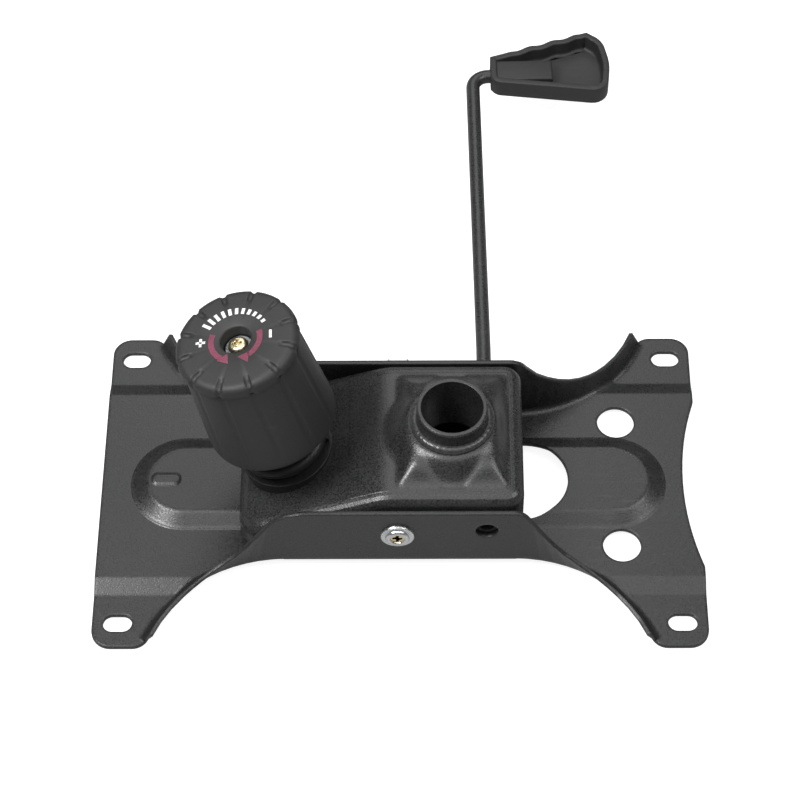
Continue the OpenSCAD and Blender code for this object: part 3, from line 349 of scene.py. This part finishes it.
def spring_length(name, s, lengths):
    bm = bmesh.new()
    ring = wire_ring(bm, s)
    bmesh.ops.contextual_create(bm, geom=ring)
    for turns, rise in lengths:
        ring = wind(bm, ring, turns, rise)
    bmesh.ops.contextual_create(bm, geom=ring)
    for v in bm.verts:
        v.co.z = min(max(v.co.z, SEAT), WASHER)
    return as_piece(name, bm, on_bolt, spring_black_painted_shade)


join_s = foot_s + CLOSE + 4 * live
spring_foot = spring_length("spring_foot", foot_s, [(1, CLOSE), (4, live)])
spring_head = spring_length("spring_head", join_s, [(1, live), (1, CLOSE)])
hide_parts("tension_spring")
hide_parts("tension_spring")
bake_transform(spring_foot)
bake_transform(spring_head)

# %% [markdown]
# ## Turned and threaded pieces
# Bolts and knobs are round, so each starts as half of its outline and is spun round its axis.
# A thread is the same tool with a lift: one tooth of the thread rises by one pitch in each turn,
# and neighbouring turns meet edge to edge, so that merging the doubles closes them.

# %% Helpers for turned pieces
def turn(bm, outline, steps=96):
    verts = [bm.verts.new((r, 0, z)) for r, z in outline]
    line = [bm.edges.new(pair) for pair in zip(verts, verts[1:])]
    bmesh.ops.spin(
        bm, geom=verts + line, cent=(0, 0, 0), axis=(0, 0, 1), angle=math.tau, steps=steps, use_merge=True,
    )


def thread(bm, radius, depth, pitch, low, turns, steps=28):
    tooth = [(radius - depth, 0.0), (radius, 0.42 * pitch), (radius, 0.58 * pitch), (radius - depth, pitch)]
    verts = [bm.verts.new((r, 0, low + z)) for r, z in tooth]
    line = [bm.edges.new(pair) for pair in zip(verts, verts[1:])]
    bmesh.ops.spin(
        bm, geom=verts + line, cent=(0, 0, 0), axis=(0, 0, 1), dvec=(0, 0, pitch / steps),
        angle=turns * math.tau, steps=turns * steps, use_merge=False,
    )


def arc(cx, cz, r, start, end, count=6):
    angles = [math.radians(start + (end - start) * i / count) for i in range(count + 1)]
    return [(cx + r * math.cos(a), cz + r * math.sin(a)) for a in angles]


print("points on a quarter round:", len(arc(0, 0, 1, 0, 90)))

# %% [markdown]
# ## The tension bolt
# It is a long M10 bolt whose ball head sits in the seat plate's emboss. The part that shows between
# the spring's turns is plain, and the part in the knob's nut is threaded.

# %% Turn the tension bolt
bm = bmesh.new()
BOLT_R, CORE_R, PITCH, BALL_R = 5.0, 4.1, 1.5, 8.5
ball_s, thread_s, end_s = 2.66, 48.0, 115.4
ball = bmesh.ops.create_uvsphere(bm, u_segments=40, v_segments=20, radius=BALL_R)["verts"]
bmesh.ops.translate(bm, verts=ball, vec=(0, 0, ball_s))
low_cut = on_bolt.inverted() @ Vector((-0.0449, 0, 0.0003))
bmesh.ops.bisect_plane(
    bm, geom=bm.verts[:] + bm.edges[:] + bm.faces[:], plane_co=low_cut,
    plane_no=Matrix.Rotation(LEAN, 3, "Y") @ Vector((0, 0, -1)), clear_outer=True,
)
bmesh.ops.holes_fill(bm, edges=[e for e in bm.edges if e.is_boundary])
shank = [(0, ball_s), (BOLT_R, ball_s), (BOLT_R, thread_s)]
turn(bm, shank + [(CORE_R, thread_s + 1), (CORE_R, end_s), (0, end_s)], 40)
thread(bm, BOLT_R, BOLT_R - CORE_R, PITCH, thread_s + 1, 43)
tension_bolt = as_piece("tension_bolt_threaded", bm, on_bolt, bright_zinc)
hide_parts("tension_bolt")
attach(tension_bolt, "seat_plate")

# %% [markdown]
# ## The knob
# The knob is a moulded cup with a round-edged top and twelve panels between shallow grooves.
# Its outline is spun in fine steps. The vertices on each groove are then pushed in,
# and those on the rim pushed down, which keeps the soft edges that moulded plastic has.

# %% Mould the knob
KNOB_FOOT, KNOB_TOP, GROOVES, KNOB_STEPS = 61.3, 61.2, 12, 288
SIDE_DENT, SIDE_HALF, RIM_DENT, RIM_HALF = 0.5, 1.7, 1.3, 1.35
knob_place = on_bolt @ Matrix.Translation((0, 0, KNOB_FOOT))
outline = (
    [(5.3, 44.8), (9.3, 44.8), (9.3, 36.8), (12.4, 36.8), (12.4, 46.3), (24.2, 46.3)]
    + [(27.2, 3.0), (27.2, 0.6), (27.6, 0.0)]
    + arc(28.2, 2.0, 2.0, -90, 0)
    + [(30.2, 4.0), (29.7, 12), (29.2, 20), (28.6, 31), (28.0, 41), (27.4, 50)]
    + [(27.3, 53.0), (27.6, 54.2), (28.1, 55.2), (28.4, 56.4)]
    + arc(24.4, 57.2, 4.0, 0, 90, 9)
    + [(r, KNOB_TOP) for r in (23.2, 22.0, 21.0, 20.0, 7.8)]
    + [(7.2, 60.9), (7.0, 60.3), (7.0, 47.8), (5.3, 47.8), (5.3, 44.8)]
)
bm = bmesh.new()
turn(bm, outline, KNOB_STEPS)
bmesh.ops.remove_doubles(bm, verts=bm.verts, dist=0.001)
pitch_angle = math.tau / GROOVES
for v in bm.verts:
    r, z = math.hypot(v.co.x, v.co.y), v.co.z
    off = (math.atan2(v.co.y, v.co.x) % pitch_angle) - pitch_angle / 2
    reach = abs(off) * r
    if r > 24.3 and 3.9 < z < 60:
        dent = SIDE_DENT * max(0.0, 1 - (reach / SIDE_HALF) ** 2) * min(1.0, (z - 3.9) / 6)
        v.co.x *= (r - dent) / r
        v.co.y *= (r - dent) / r
    if r > 20.5 and z > 57.0:
        v.co.z -= RIM_DENT * max(0.0, 1 - (reach / RIM_HALF) ** 4) * min(1.0, (r - 20.5) / 1.5)
knob = as_piece("knob_moulded", bm, knob_place, moulded_black, 50)
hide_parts("tension_knob")
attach(knob, "knob")

# %% [markdown]
# ## The marks on the knob
# White strokes that grow round the knob's top show how firm the setting is, a plus and a minus
# stand at the ends, and two red arrows show that it turns both ways.
# Each mark is a thin film of print: a short bar, or an edge spun through part of a turn.

# %% Inks and helpers for the marks
FILM = 0.07
white_print = finish(
    "white_print", [(0.62, 0.62, 0.61), (0.80, 0.80, 0.79)], (0.45, 0.45, 0.45),
    (0.45, 0.6), 0.00002, (1500, 500, 120), edge=0.0001, wear_amount=0.8,
)
red_print = finish(
    "red_print", [(0.10, 0.018, 0.036), (0.20, 0.040, 0.078)], (0.05, 0.025, 0.03),
    (0.45, 0.6), 0.00002, (1500, 500, 120), edge=0.0001, wear_amount=0.8,
)


def bar(bm, r, angle, long, wide, twist=0.0):
    spot = Matrix.Rotation(math.radians(angle), 4, "Z") @ Matrix.Translation((r, 0, KNOB_TOP))
    size = Matrix.Rotation(math.radians(twist), 4, "Z") @ Matrix.Diagonal((long, wide, 1, 1))
    bmesh.ops.create_grid(bm, x_segments=1, y_segments=1, size=0.5, matrix=spot @ size)


def band(bm, r, wide, start, end):
    begin = Matrix.Rotation(math.radians(start), 3, "Z")
    verts = [bm.verts.new(begin @ Vector((r + side * wide / 2, 0, KNOB_TOP))) for side in (-1, 1)]
    edge = bm.edges.new(verts)
    bmesh.ops.spin(
        bm, geom=verts + [edge], cent=(0, 0, 0), axis=(0, 0, 1),
        angle=math.radians(end - start), steps=24,
    )


def head(bm, r, angle, size, turned):
    spot = Matrix.Rotation(math.radians(angle), 4, "Z") @ Matrix.Translation((r, 0, KNOB_TOP))
    points = spot @ Matrix.Rotation(math.radians(turned), 4, "Z")
    bmesh.ops.create_circle(bm, segments=3, radius=size, cap_ends=True, matrix=points)


def lift(bm, geom, height):
    verts = [g for g in geom if isinstance(g, bmesh.types.BMVert)]
    bmesh.ops.translate(bm, verts=verts, vec=(0, 0, height))


def film(name, bm, material):
    lift(bm, bmesh.ops.extrude_face_region(bm, geom=bm.faces[:])["geom"], FILM)
    piece = as_piece(name, bm, knob_place, material, 30)
    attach(piece, "knob")
    return piece


print("inks:", white_print.name, red_print.name)

# %% Print the strokes
STROKES, FIRST, STROKE_PITCH, SIGN_R, SIGN_LONG, SIGN_WIDE = 11, 34, 11.2, 16.0, 4.4, 1.25
bm = bmesh.new()
for i in range(STROKES):
    bar(bm, 14.9 + 0.13 * i, FIRST + STROKE_PITCH * i, 2.0 + 0.26 * i, 1.5)
for angle, twists in ((178, (0, 90)), (2, (90,))):
    for twist in twists:
        bar(bm, SIGN_R, angle, SIGN_LONG, SIGN_WIDE, twist)
film("knob_strokes", bm, white_print)

# %% Print the arrows
ARROW_R, ARROW_WIDE, HEAD_R, HEAD_AHEAD = 11.2, 2.6, 3.4, 9
bm = bmesh.new()
for start, end, turned in ((158, 236, 90), (18, -56, 270)):
    band(bm, ARROW_R, ARROW_WIDE, start, end)
    head(bm, ARROW_R, end + math.copysign(HEAD_AHEAD, end - start), HEAD_R, turned)
film("knob_arrow", bm, red_print)

# %% [markdown]
# ## Cross recesses
# The screw in the knob and the pivot bolt are driven by a cross-head driver. The recess is a plus
# sign sunk into the head: the head's round rim is bridged to a plus-shaped loop, and the loop is
# drawn down and narrowed, as a punch would leave it.

# %% Helper for a recess
def cross_recess(bm, rim, z, long, wide, depth):
    loop = bmesh.ops.create_grid(bm, x_segments=3, y_segments=3, size=long)["verts"]
    for v in loop:
        v.co.x = math.copysign(wide if abs(v.co.x) < 0.9 * long else long, v.co.x)
        v.co.y = math.copysign(wide if abs(v.co.y) < 0.9 * long else long, v.co.y)
        v.co.z = z
    corners = [v for v in loop if abs(v.co.x) > wide * 1.01 and abs(v.co.y) > wide * 1.01]
    bmesh.ops.delete(bm, geom=corners, context="VERTS")
    plus = list({f for v in loop if v.is_valid for f in v.link_faces})
    outer = [e for f in plus for e in f.edges if e.is_boundary]
    bmesh.ops.bridge_loops(bm, edges=rim + outer)
    sunk = bmesh.ops.extrude_face_region(bm, geom=plus)["geom"]
    bmesh.ops.delete(bm, geom=plus, context="FACES_ONLY")
    bottom = [g for g in sunk if isinstance(g, bmesh.types.BMVert)]
    bmesh.ops.translate(bm, verts=bottom, vec=(0, 0, -depth))
    bmesh.ops.scale(bm, verts=bottom, vec=(0.55, 0.55, 1))


def rim_at(bm, r, z):
    def on_rim(v):
        return abs(v.co.z - z) < 0.01 and abs(v.co.xy.length - r) < 0.01

    return [e for e in bm.edges if e.is_boundary and all(on_rim(v) for v in e.verts)]


print("a recess bridges a round rim to a plus sign with 12 corners")

# %% [markdown]
# ## The pivot bolt
# The bolt on which the mechanism tilts shows as a bright, washer-like head on the near flange, with
# a brassy recess, and as a threaded end in its nut on the far flange.

# %% Turn the pivot bolt
bm = bmesh.new()
turn(bm, [
    (BOLT_R, 0), (7.8, 0), (7.8, 0.9), (7.6, 1.3), (7.1, 1.5), (6.3, 1.5), (5.9, 1.3), (5.6, 1.5), (5.4, 2.2),
    (5.0, 2.7), (4.4, 2.9), (3.6, 2.8), (3.2, 2.4), (3.1, 2.0),
], 64)
bmesh.ops.remove_doubles(bm, verts=bm.verts, dist=0.001)
shank = [(BOLT_R, 0), (BOLT_R, -88.0), (CORE_R, -89.0), (CORE_R, -97.2), (3.6, -97.8), (0, -97.8)]
turn(bm, shank, 40)
thread(bm, BOLT_R, BOLT_R - CORE_R, PITCH, -97.2, 5)
cross_recess(bm, rim_at(bm, 3.1, 2.0), 2.0, 2.3, 0.65, 1.6)
PIVOT_HEAD = (-0.001, -0.0434, 0.0275)
pivot_place = Matrix.Translation(PIVOT_HEAD) @ Matrix.Rotation(math.radians(90), 4, "X") @ MM
pivot_bolt = as_piece("pivot_bolt_turned", bm, pivot_place, bright_zinc)
pivot_bolt.data.materials.append(yellow_zinc)
middle = pivot_place.translation
for face in pivot_bolt.data.polygons:
    spot = face.center - middle
    if math.hypot(spot.x, spot.z) < 0.0032 and spot.y < 0:
        face.material_index = 1
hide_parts("pivot_bolt")
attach(pivot_bolt, "seat_plate")

# %% [markdown]
# ## The stop screw
# The yellow screw in the knob's top holds the washer that keeps the knob from coming off.

# %% Turn the stop screw
bm = bmesh.new()
STOP_T = 1.2
screw_place = on_bolt @ Matrix.Translation((0, 0, end_s + STOP_T))
shank = [(0, -12), (2.5, -12), (2.5, 0)]
turn(bm, shank + [(4.7, 0), (4.7, 0.8), (4.5, 1.6), (4.1, 2.4), (3.5, 3.0), (2.9, 3.3)], 56)
bmesh.ops.remove_doubles(bm, verts=bm.verts, dist=0.001)
cross_recess(bm, rim_at(bm, 2.9, 3.3), 3.4, 2.3, 0.62, 1.9)
stop_screw = as_piece("stop_screw_turned", bm, screw_place, yellow_zinc)
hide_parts("stop_screw")
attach(stop_screw, "seat_plate")

# %% [markdown]
# ## The weld
# The socket for the gas lift is welded into the bracket. The bead is a ring of overlapping ripples,
# so a round section is spun about the socket and each ring is then swelled a little or less.
# Its paint is paler than the bracket's, a painted highlight on the bead.

# %% Lay the weld bead
# The bead's paint is paler and glossier than the bracket's: the paler tone is a painted highlight.
weld_coat_painted_highlight = finish(
    "weld_coat_painted_highlight", [(0.020, 0.0203, 0.021), (0.045, 0.0455, 0.047)], (0.10, 0.10, 0.10),
    (0.24, 0.36), 0.00008, (900, 300, 60), wear_amount=0.6,
)
bm = bmesh.new()
SOCKET_X, RINGS, BEAD_R, RING_R, RING_Z = 24.2, 168, 2.5, 17.1, 57.5
section = bmesh.ops.create_circle(bm, segments=16, radius=BEAD_R)["verts"]
bmesh.ops.rotate(bm, verts=section, cent=(0, 0, 0), matrix=Matrix.Rotation(math.radians(90), 3, "X"))
bmesh.ops.translate(bm, verts=section, vec=(RING_R, 0, RING_Z))
ring = list({e for v in section for e in v.link_edges})
bmesh.ops.spin(
    bm, geom=section + ring, cent=(0, 0, 0), axis=(0, 0, 1), angle=math.tau, steps=RINGS, use_merge=True,
)
for v in bm.verts:
    angle = math.atan2(v.co.y, v.co.x)
    swell = 1 + 0.03 * math.sin(42 * angle + 0.8 * math.sin(5 * angle)) + 0.06 * math.sin(3 * angle + 1)
    centre = Vector((RING_R * math.cos(angle), RING_R * math.sin(angle), RING_Z))
    v.co = centre + (v.co - centre) * swell
on_socket = Matrix.Translation((SOCKET_X / 1000, 0, 0)) @ MM
weld = as_piece("socket_weld", bm, on_socket, weld_coat_painted_highlight, 60)
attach(weld, "bracket")

# %% [markdown]
# ## The pressed boss
# The bracket's sheet is drawn up round the socket, and four gussets ramp down from the boss to the
# bracket's face. A press leaves no sharp lines there. One line is spun about the socket, and each
# vertex is lifted to the higher of the boss and the gussets, with soft crests and valleys.

# %% Heights of the boss
FACE, BREAK_X, BREAK, FALL = 48.5, -7.0, 10, math.tan(math.radians(22))
SOCKET_R, BOSS_H, HILL_TOP, HILL_FOOT, VALLEY = 16.0, 8.62, 19.2, 32.0, 0.8
GUSSET_X, GUSSET_H, CREST, GUSSET_FOOT, RAMP_TOP, RAMP_FOOT = 15.4, 8.8, 0.2, 11.1, 16.5, 33.3


def soft_step(low, high, value):
    t = min(1.0, max(0.0, (value - low) / (high - low)))
    return t * t * (3 - 2 * t)


def face_height(x):
    past = BREAK_X + BREAK / 2 - x
    curve = min(max(past, 0.0), BREAK)
    return FACE - FALL * (curve ** 2 / (2 * BREAK) + max(0.0, past - BREAK))


def boss_height(x, y, reach):
    hill = BOSS_H * (1 - soft_step(HILL_TOP, min(HILL_FOOT, reach - 0.1), math.hypot(x, y)))
    ramp = GUSSET_H * (1 - soft_step(RAMP_TOP, RAMP_FOOT, abs(y)))
    side = GUSSET_H * (1 - soft_step(CREST, GUSSET_FOOT, abs(abs(x) - GUSSET_X)))
    soft = 0.3 + 0.3 * min(ramp, side)
    arm = max(0.0, -soft * math.log(math.exp(-ramp / soft) + math.exp(-side / soft)))
    return min(BOSS_H, VALLEY * math.log(math.exp(hill / VALLEY) + math.exp(arm / VALLEY) - 1))


print("heights of the face, the boss and a gusset:", FACE, BOSS_H, GUSSET_H)

# %% [markdown]
# ## The skin over the boss
# The skin lies a hair above the solid, and its border sinks into it, so that no edge of it shows.
# It starts at the socket's wall and reaches as far as the bracket's face does on each side.

# %% Spin and lift the skin
REAR, FRONT, SIDE, LIFT, SUNK = 26.7, 48, 33.4, 0.02, -0.05
SHARES = [i / 34 for i in range(34)] + [0.997, 1.0]
bm = bmesh.new()
line = [bm.verts.new((1 + share, 0, 0)) for share in SHARES]
spokes = [bm.edges.new(pair) for pair in zip(line, line[1:])]
bmesh.ops.spin(
    bm, geom=line + spokes, cent=(0, 0, 0), axis=(0, 0, 1), angle=math.tau, steps=240, use_merge=True,
)
for v in bm.verts:
    share, angle = v.co.xy.length - 1, math.atan2(v.co.y, v.co.x)
    along, side = math.cos(angle), math.sin(angle)
    reach = min(REAR / max(along, 0.01), FRONT / max(-along, 0.01), SIDE / max(abs(side), 0.01))
    x, y = ((SOCKET_R + (reach - SOCKET_R) * share) * part for part in (along, side))
    base = face_height(SOCKET_X + x) + (LIFT if share < 0.999 else SUNK)
    v.co = (x, y, base + boss_height(x, y, reach))
boss = as_piece("pressed_boss", bm, on_socket, bracket_coat_painted_light, 60)
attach(boss, "bracket")

# %% [markdown]
# ## The pressed ovals
# The seat plate has a long oval pressed up along its middle, and a small pip on its front end.
# Their sides are soft curves. A line across the side is spun about the front end, and the rear half
# is moved back to draw the ring out to an oval. The long one is pushed aside where the round
# cut-out goes through the plate.

# %% Press the ovals
def pressed_side(share, ends=0.2):
    if share > 0.5:
        return 1 - pressed_side(1 - share, ends)
    share = max(0.0, share)
    return 1 - (share ** 2 / (2 * ends) if share < ends else share - ends / 2) / (1 - ends)


def flat_oval(radii, straight, cuts):
    bm = bmesh.new()
    line = [bm.verts.new((r, 0, 0)) for r in radii]
    spokes = [bm.edges.new(pair) for pair in zip(line, line[1:])]
    bmesh.ops.spin(
        bm, geom=line + spokes, cent=(0, 0, 0), axis=(0, 0, 1), angle=math.tau, steps=120, use_merge=True,
    )
    bmesh.ops.bisect_plane(
        bm, geom=bm.verts[:] + bm.edges[:] + bm.faces[:], plane_co=(0.01, 0, 0), plane_no=(1, 0, 0),
    )
    middle = [v for v in bm.verts if 0.005 < v.co.x < 0.015]
    bmesh.ops.translate(bm, verts=[v for v in bm.verts if v.co.x > 0.015], vec=(straight, 0, 0))
    lengthwise = [e for v in middle for e in v.link_edges if e.other_vert(v).co.x > straight]
    bmesh.ops.subdivide_edges(bm, edges=lengthwise, cuts=cuts, use_grid_fill=True)
    return bm


def pressed_oval(name, start, straight, top_r, foot_r, low, rise, cuts, widen=0.0, hole=None):
    slope = [top_r + (foot_r - top_r) * i / 12 for i in range(13)]
    radii = [top_r - 0.55, top_r - 0.53] + slope + [foot_r + 0.08]
    bm = flat_oval(radii, straight, cuts)
    for v in bm.verts:
        x, y = v.co.x, abs(v.co.y)
        if hole and abs(x + start - hole[0]) < hole[1]:
            y = max(y, math.sqrt(hole[1] ** 2 - (x + start - hole[0]) ** 2))
        r = math.hypot(min(x, 0.0) + max(x - straight, 0.0), y)
        share = (r - top_r) / (foot_r - top_r)
        sunk = r < radii[1] - 0.01 or r > foot_r + 0.04
        height = low + rise * pressed_side(share) + (SUNK if sunk else LIFT)
        v.co = (x, math.copysign(y, v.co.y) * (1 + widen * max(0.0, share)), height)
    piece = as_piece(name, bm, Matrix.Translation((start / 1000, 0, 0)) @ MM, black_coat, 60)
    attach(piece, "seat_plate")


pressed_oval(
    "pressed_oval", start=-101.95, straight=201.9, top_r=16.95, foot_r=26.1, low=5, rise=4.03, cuts=150,
    hole=(58, 21.6),
)
pressed_oval(
    "pressed_pip", start=-114.95, straight=8, top_r=1.85, foot_r=3.35, low=9, rise=0.62, cuts=10, widen=0.2,
)

# %% [markdown]
# ## The handle
# The handle is a moulded paddle pushed over the rod's end: a wedge with a wavy edge for the fingers,
# hollow on this side, with a block that grips the rod. The plan is drawn from a few points, its edge
# is cut finely and waved, and then it is extruded, inset, sunk and rounded.

# %% Draw the handle's plan
WAVE, WAVE_PITCH, WAVE_FROM, WAVE_TO = 0.55, 12.2, 10, 49
plan = [(1, -8.2), (61, -16.2), (63, 4), (60, 19.5), (52, 25.4), (1, 9.2)]
bm = bmesh.new()
corners = [bm.verts.new((x, y, 0)) for x, y in plan]
face = bm.faces.new(corners)
far_edge = next(e for e in face.edges if set(e.verts) == {corners[4], corners[5]})
bmesh.ops.subdivide_edges(bm, edges=[far_edge], cuts=40)
for v in bm.verts:
    if v.co.y > 5 and WAVE_FROM < v.co.x < WAVE_TO:
        fade = min(1.0, (WAVE_TO - v.co.x) / 3, (v.co.x - WAVE_FROM) / 4)
        v.co.y += WAVE * math.cos(math.tau * (v.co.x - 21.5) / WAVE_PITCH) * fade
for spot, round_by in zip(plan, (5.0, 8.5, 4.5, 4.5)):
    corner = min(bm.verts, key=lambda v: (v.co.xy - Vector(spot)).length)
    bmesh.ops.bevel(
        bm, geom=[corner], offset=round_by, offset_type="OFFSET", segments=6, profile=0.5,
        affect="VERTICES", material=-1, clamp_overlap=True,
    )
print("corners of the plan:", len(bm.verts))

# %% [markdown]
# ## The handle's hollow
# The plan is extruded to a block, its top is inset by the wall and sunk, and the edges are rounded
# level by level: the floor of the hollow most, the rim and the foot less. The edges are found anew
# for each level, because a bevel replaces the edges round it.

# %% Mould the handle
HANDLE_H, WALL, WELL = 11, 3.4, 8.6
lift(bm, bmesh.ops.extrude_face_region(bm, geom=bm.faces[:])["geom"], HANDLE_H)
lid = max(bm.faces, key=lambda f: f.calc_center_median().z)
bmesh.ops.inset_region(bm, faces=[lid], thickness=WALL, use_even_offset=True)
well = bmesh.ops.extrude_face_region(bm, geom=[lid])["geom"]
bmesh.ops.delete(bm, geom=[lid], context="FACES_ONLY")
lift(bm, well, -WELL)
bmesh.ops.recalc_face_normals(bm, faces=bm.faces)
for height, round_by in ((HANDLE_H - WELL, 2.4), (HANDLE_H, 1.2), (0, 1.2)):
    level = [e for e in bm.edges if e.is_manifold and all(abs(v.co.z - height) < 0.1 for v in e.verts)]
    bmesh.ops.bevel(
        bm, geom=[e for e in level if e.calc_face_angle(0) > math.radians(50)], offset=round_by,
        offset_type="OFFSET", segments=4, profile=0.5, affect="EDGES", material=-1, clamp_overlap=True,
    )
BLOCK_AT, BLOCK_SIZE = (17, 0.2, 5.6), (32, 13, 9.2)
block = bmesh.ops.create_cube(
    bm, size=1, matrix=Matrix.Translation(BLOCK_AT) @ Matrix.Diagonal((*BLOCK_SIZE, 1)),
)["verts"]
bmesh.ops.bevel(
    bm, geom=list({e for v in block for e in v.link_edges}), offset=0.8, offset_type="OFFSET", segments=3,
    profile=0.5, affect="EDGES", material=-1,
)
LEVER_AT, LEVER_SPLAY, ALONG_LEVER = (0.040, 0.060, 0.0307), math.radians(0.95), (0.0083, 0.176, -0.0055)
on_lever = Matrix.Translation(LEVER_AT) @ Matrix.Rotation(LEVER_SPLAY, 4, "Z")
handle_place = on_lever @ Matrix.Translation(ALONG_LEVER) @ MM
handle = as_piece("handle_moulded", bm, handle_place, moulded_black, 40)
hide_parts("lever_handle")
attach(handle, "lever")

# %% [markdown]
# ## The floor
# The photograph has a white ground. The floor is a plain sheet that takes the object's shadow.
# A share of its white is shown to the camera only, and less of it to bright metal that mirrors
# the floor, so it stays white without more light on the object.

# %% Lay the floor
bm = bmesh.new()
bmesh.ops.create_grid(bm, x_segments=1, y_segments=1, size=4.0)
bmesh.ops.translate(bm, verts=bm.verts, vec=(0, 0, -0.0006))
floor_mesh = bpy.data.meshes.new("floor")
bm.to_mesh(floor_mesh)
bm.free()
floor = bpy.data.objects.new("floor", floor_mesh)
bpy.context.scene.collection.objects.link(floor)

pale = bpy.data.materials.new("pale_floor")
pale.use_nodes = True
tree = pale.node_tree
shader = tree.nodes["Principled BSDF"]
shader.inputs["Base Color"].default_value = (0.36, 0.36, 0.36, 1.0)
shader.inputs["Roughness"].default_value = 0.9
shader.inputs["Emission Color"].default_value = (1.0, 1.0, 1.0, 1.0)
ray = tree.nodes.new("ShaderNodeLightPath")
direct = sums(tree, "MULTIPLY", ray.outputs["Is Camera Ray"], 0.89)
mirrored = sums(tree, "MULTIPLY", ray.outputs["Is Glossy Ray"], 0.1)
tree.links.new(sums(tree, "ADD", direct, mirrored), shader.inputs["Emission Strength"])
floor_mesh.materials.append(pale)
print("floor:", pale.name)

# %% [markdown]
# ## The light
# Black paint shows its shape by what it mirrors. A lamp on the left draws the bright ends of the
# pressed curves, a broad one overhead fills the steps, and one beyond the far side lies in the flat
# plate's mirror. The world is dim for the object and white for the camera.

# %% Hang the lamps
def soft_lamp(name, place, aim, size, watts):
    lamp = bpy.data.lights.new(name, "AREA")
    lamp.shape = "DISK"
    lamp.size = size
    lamp.energy = watts
    lamp_object = bpy.data.objects.new(name, lamp)
    lamp_object.location = place
    lamp_object.rotation_euler = (Vector(aim) - Vector(place)).to_track_quat("-Z", "Y").to_euler()
    bpy.context.scene.collection.objects.link(lamp_object)
    return lamp_object


soft_lamp("left_lamp", (-0.66, -0.18, 1.1), (0, 0, 0.02), 0.48, 15)
soft_lamp("right_lamp", (0.8, -0.05, 1.0), (0, 0, 0.02), 0.6, 5)
soft_lamp("overhead_lamp", (0.0, -0.2, 1.5), (0, 0, 0.02), 1.6, 12)
soft_lamp("far_lamp", (-0.05, 0.95, 1.15), (0, 0, 0.03), 1.0, 5)
world = bpy.data.worlds.new("studio")
world.use_nodes = True
tree = world.node_tree
sky = tree.nodes["Background"]
sky.inputs["Color"].default_value = (1.0, 1.0, 1.0, 1.0)
ray = tree.nodes.new("ShaderNodeLightPath")
tree.links.new(sums(tree, "MAXIMUM", ray.outputs["Is Camera Ray"], 0.13), sky.inputs["Strength"])
bpy.context.scene.world = world

# %% [markdown]
# ## The camera
# The photograph was taken from above the near side, about a metre and a quarter away.
# The place and lens were worked out from the four bolt slots and the two round holes.

# %% Camera at the photograph's angle
elevation, yaw, roll = math.radians(54.58), math.radians(0.834), math.radians(-0.831)
level = math.cos(elevation)
back = Vector((math.sin(yaw) * level, -math.cos(yaw) * level, math.sin(elevation)))
right = Vector((math.cos(yaw), math.sin(yaw), 0))
up = back.cross(right)
across = math.cos(roll) * right + math.sin(roll) * up
upright = math.cos(roll) * up - math.sin(roll) * right
eye = bpy.data.cameras.new("photo_camera")
eye.sensor_width = 36.0
eye.lens = 117.98
eye.clip_end = 20.0
camera = bpy.data.objects.new("photo_camera", eye)
turned = Matrix((across, upright, back)).transposed().to_4x4()
camera.matrix_world = Matrix.Translation((0.01049, -0.68978, 1.04322)) @ turned
bpy.context.scene.collection.objects.link(camera)
bpy.context.scene.camera = camera
bpy.context.scene.view_settings.view_transform = "Standard"
print("camera at", [round(x, 3) for x in camera.location])
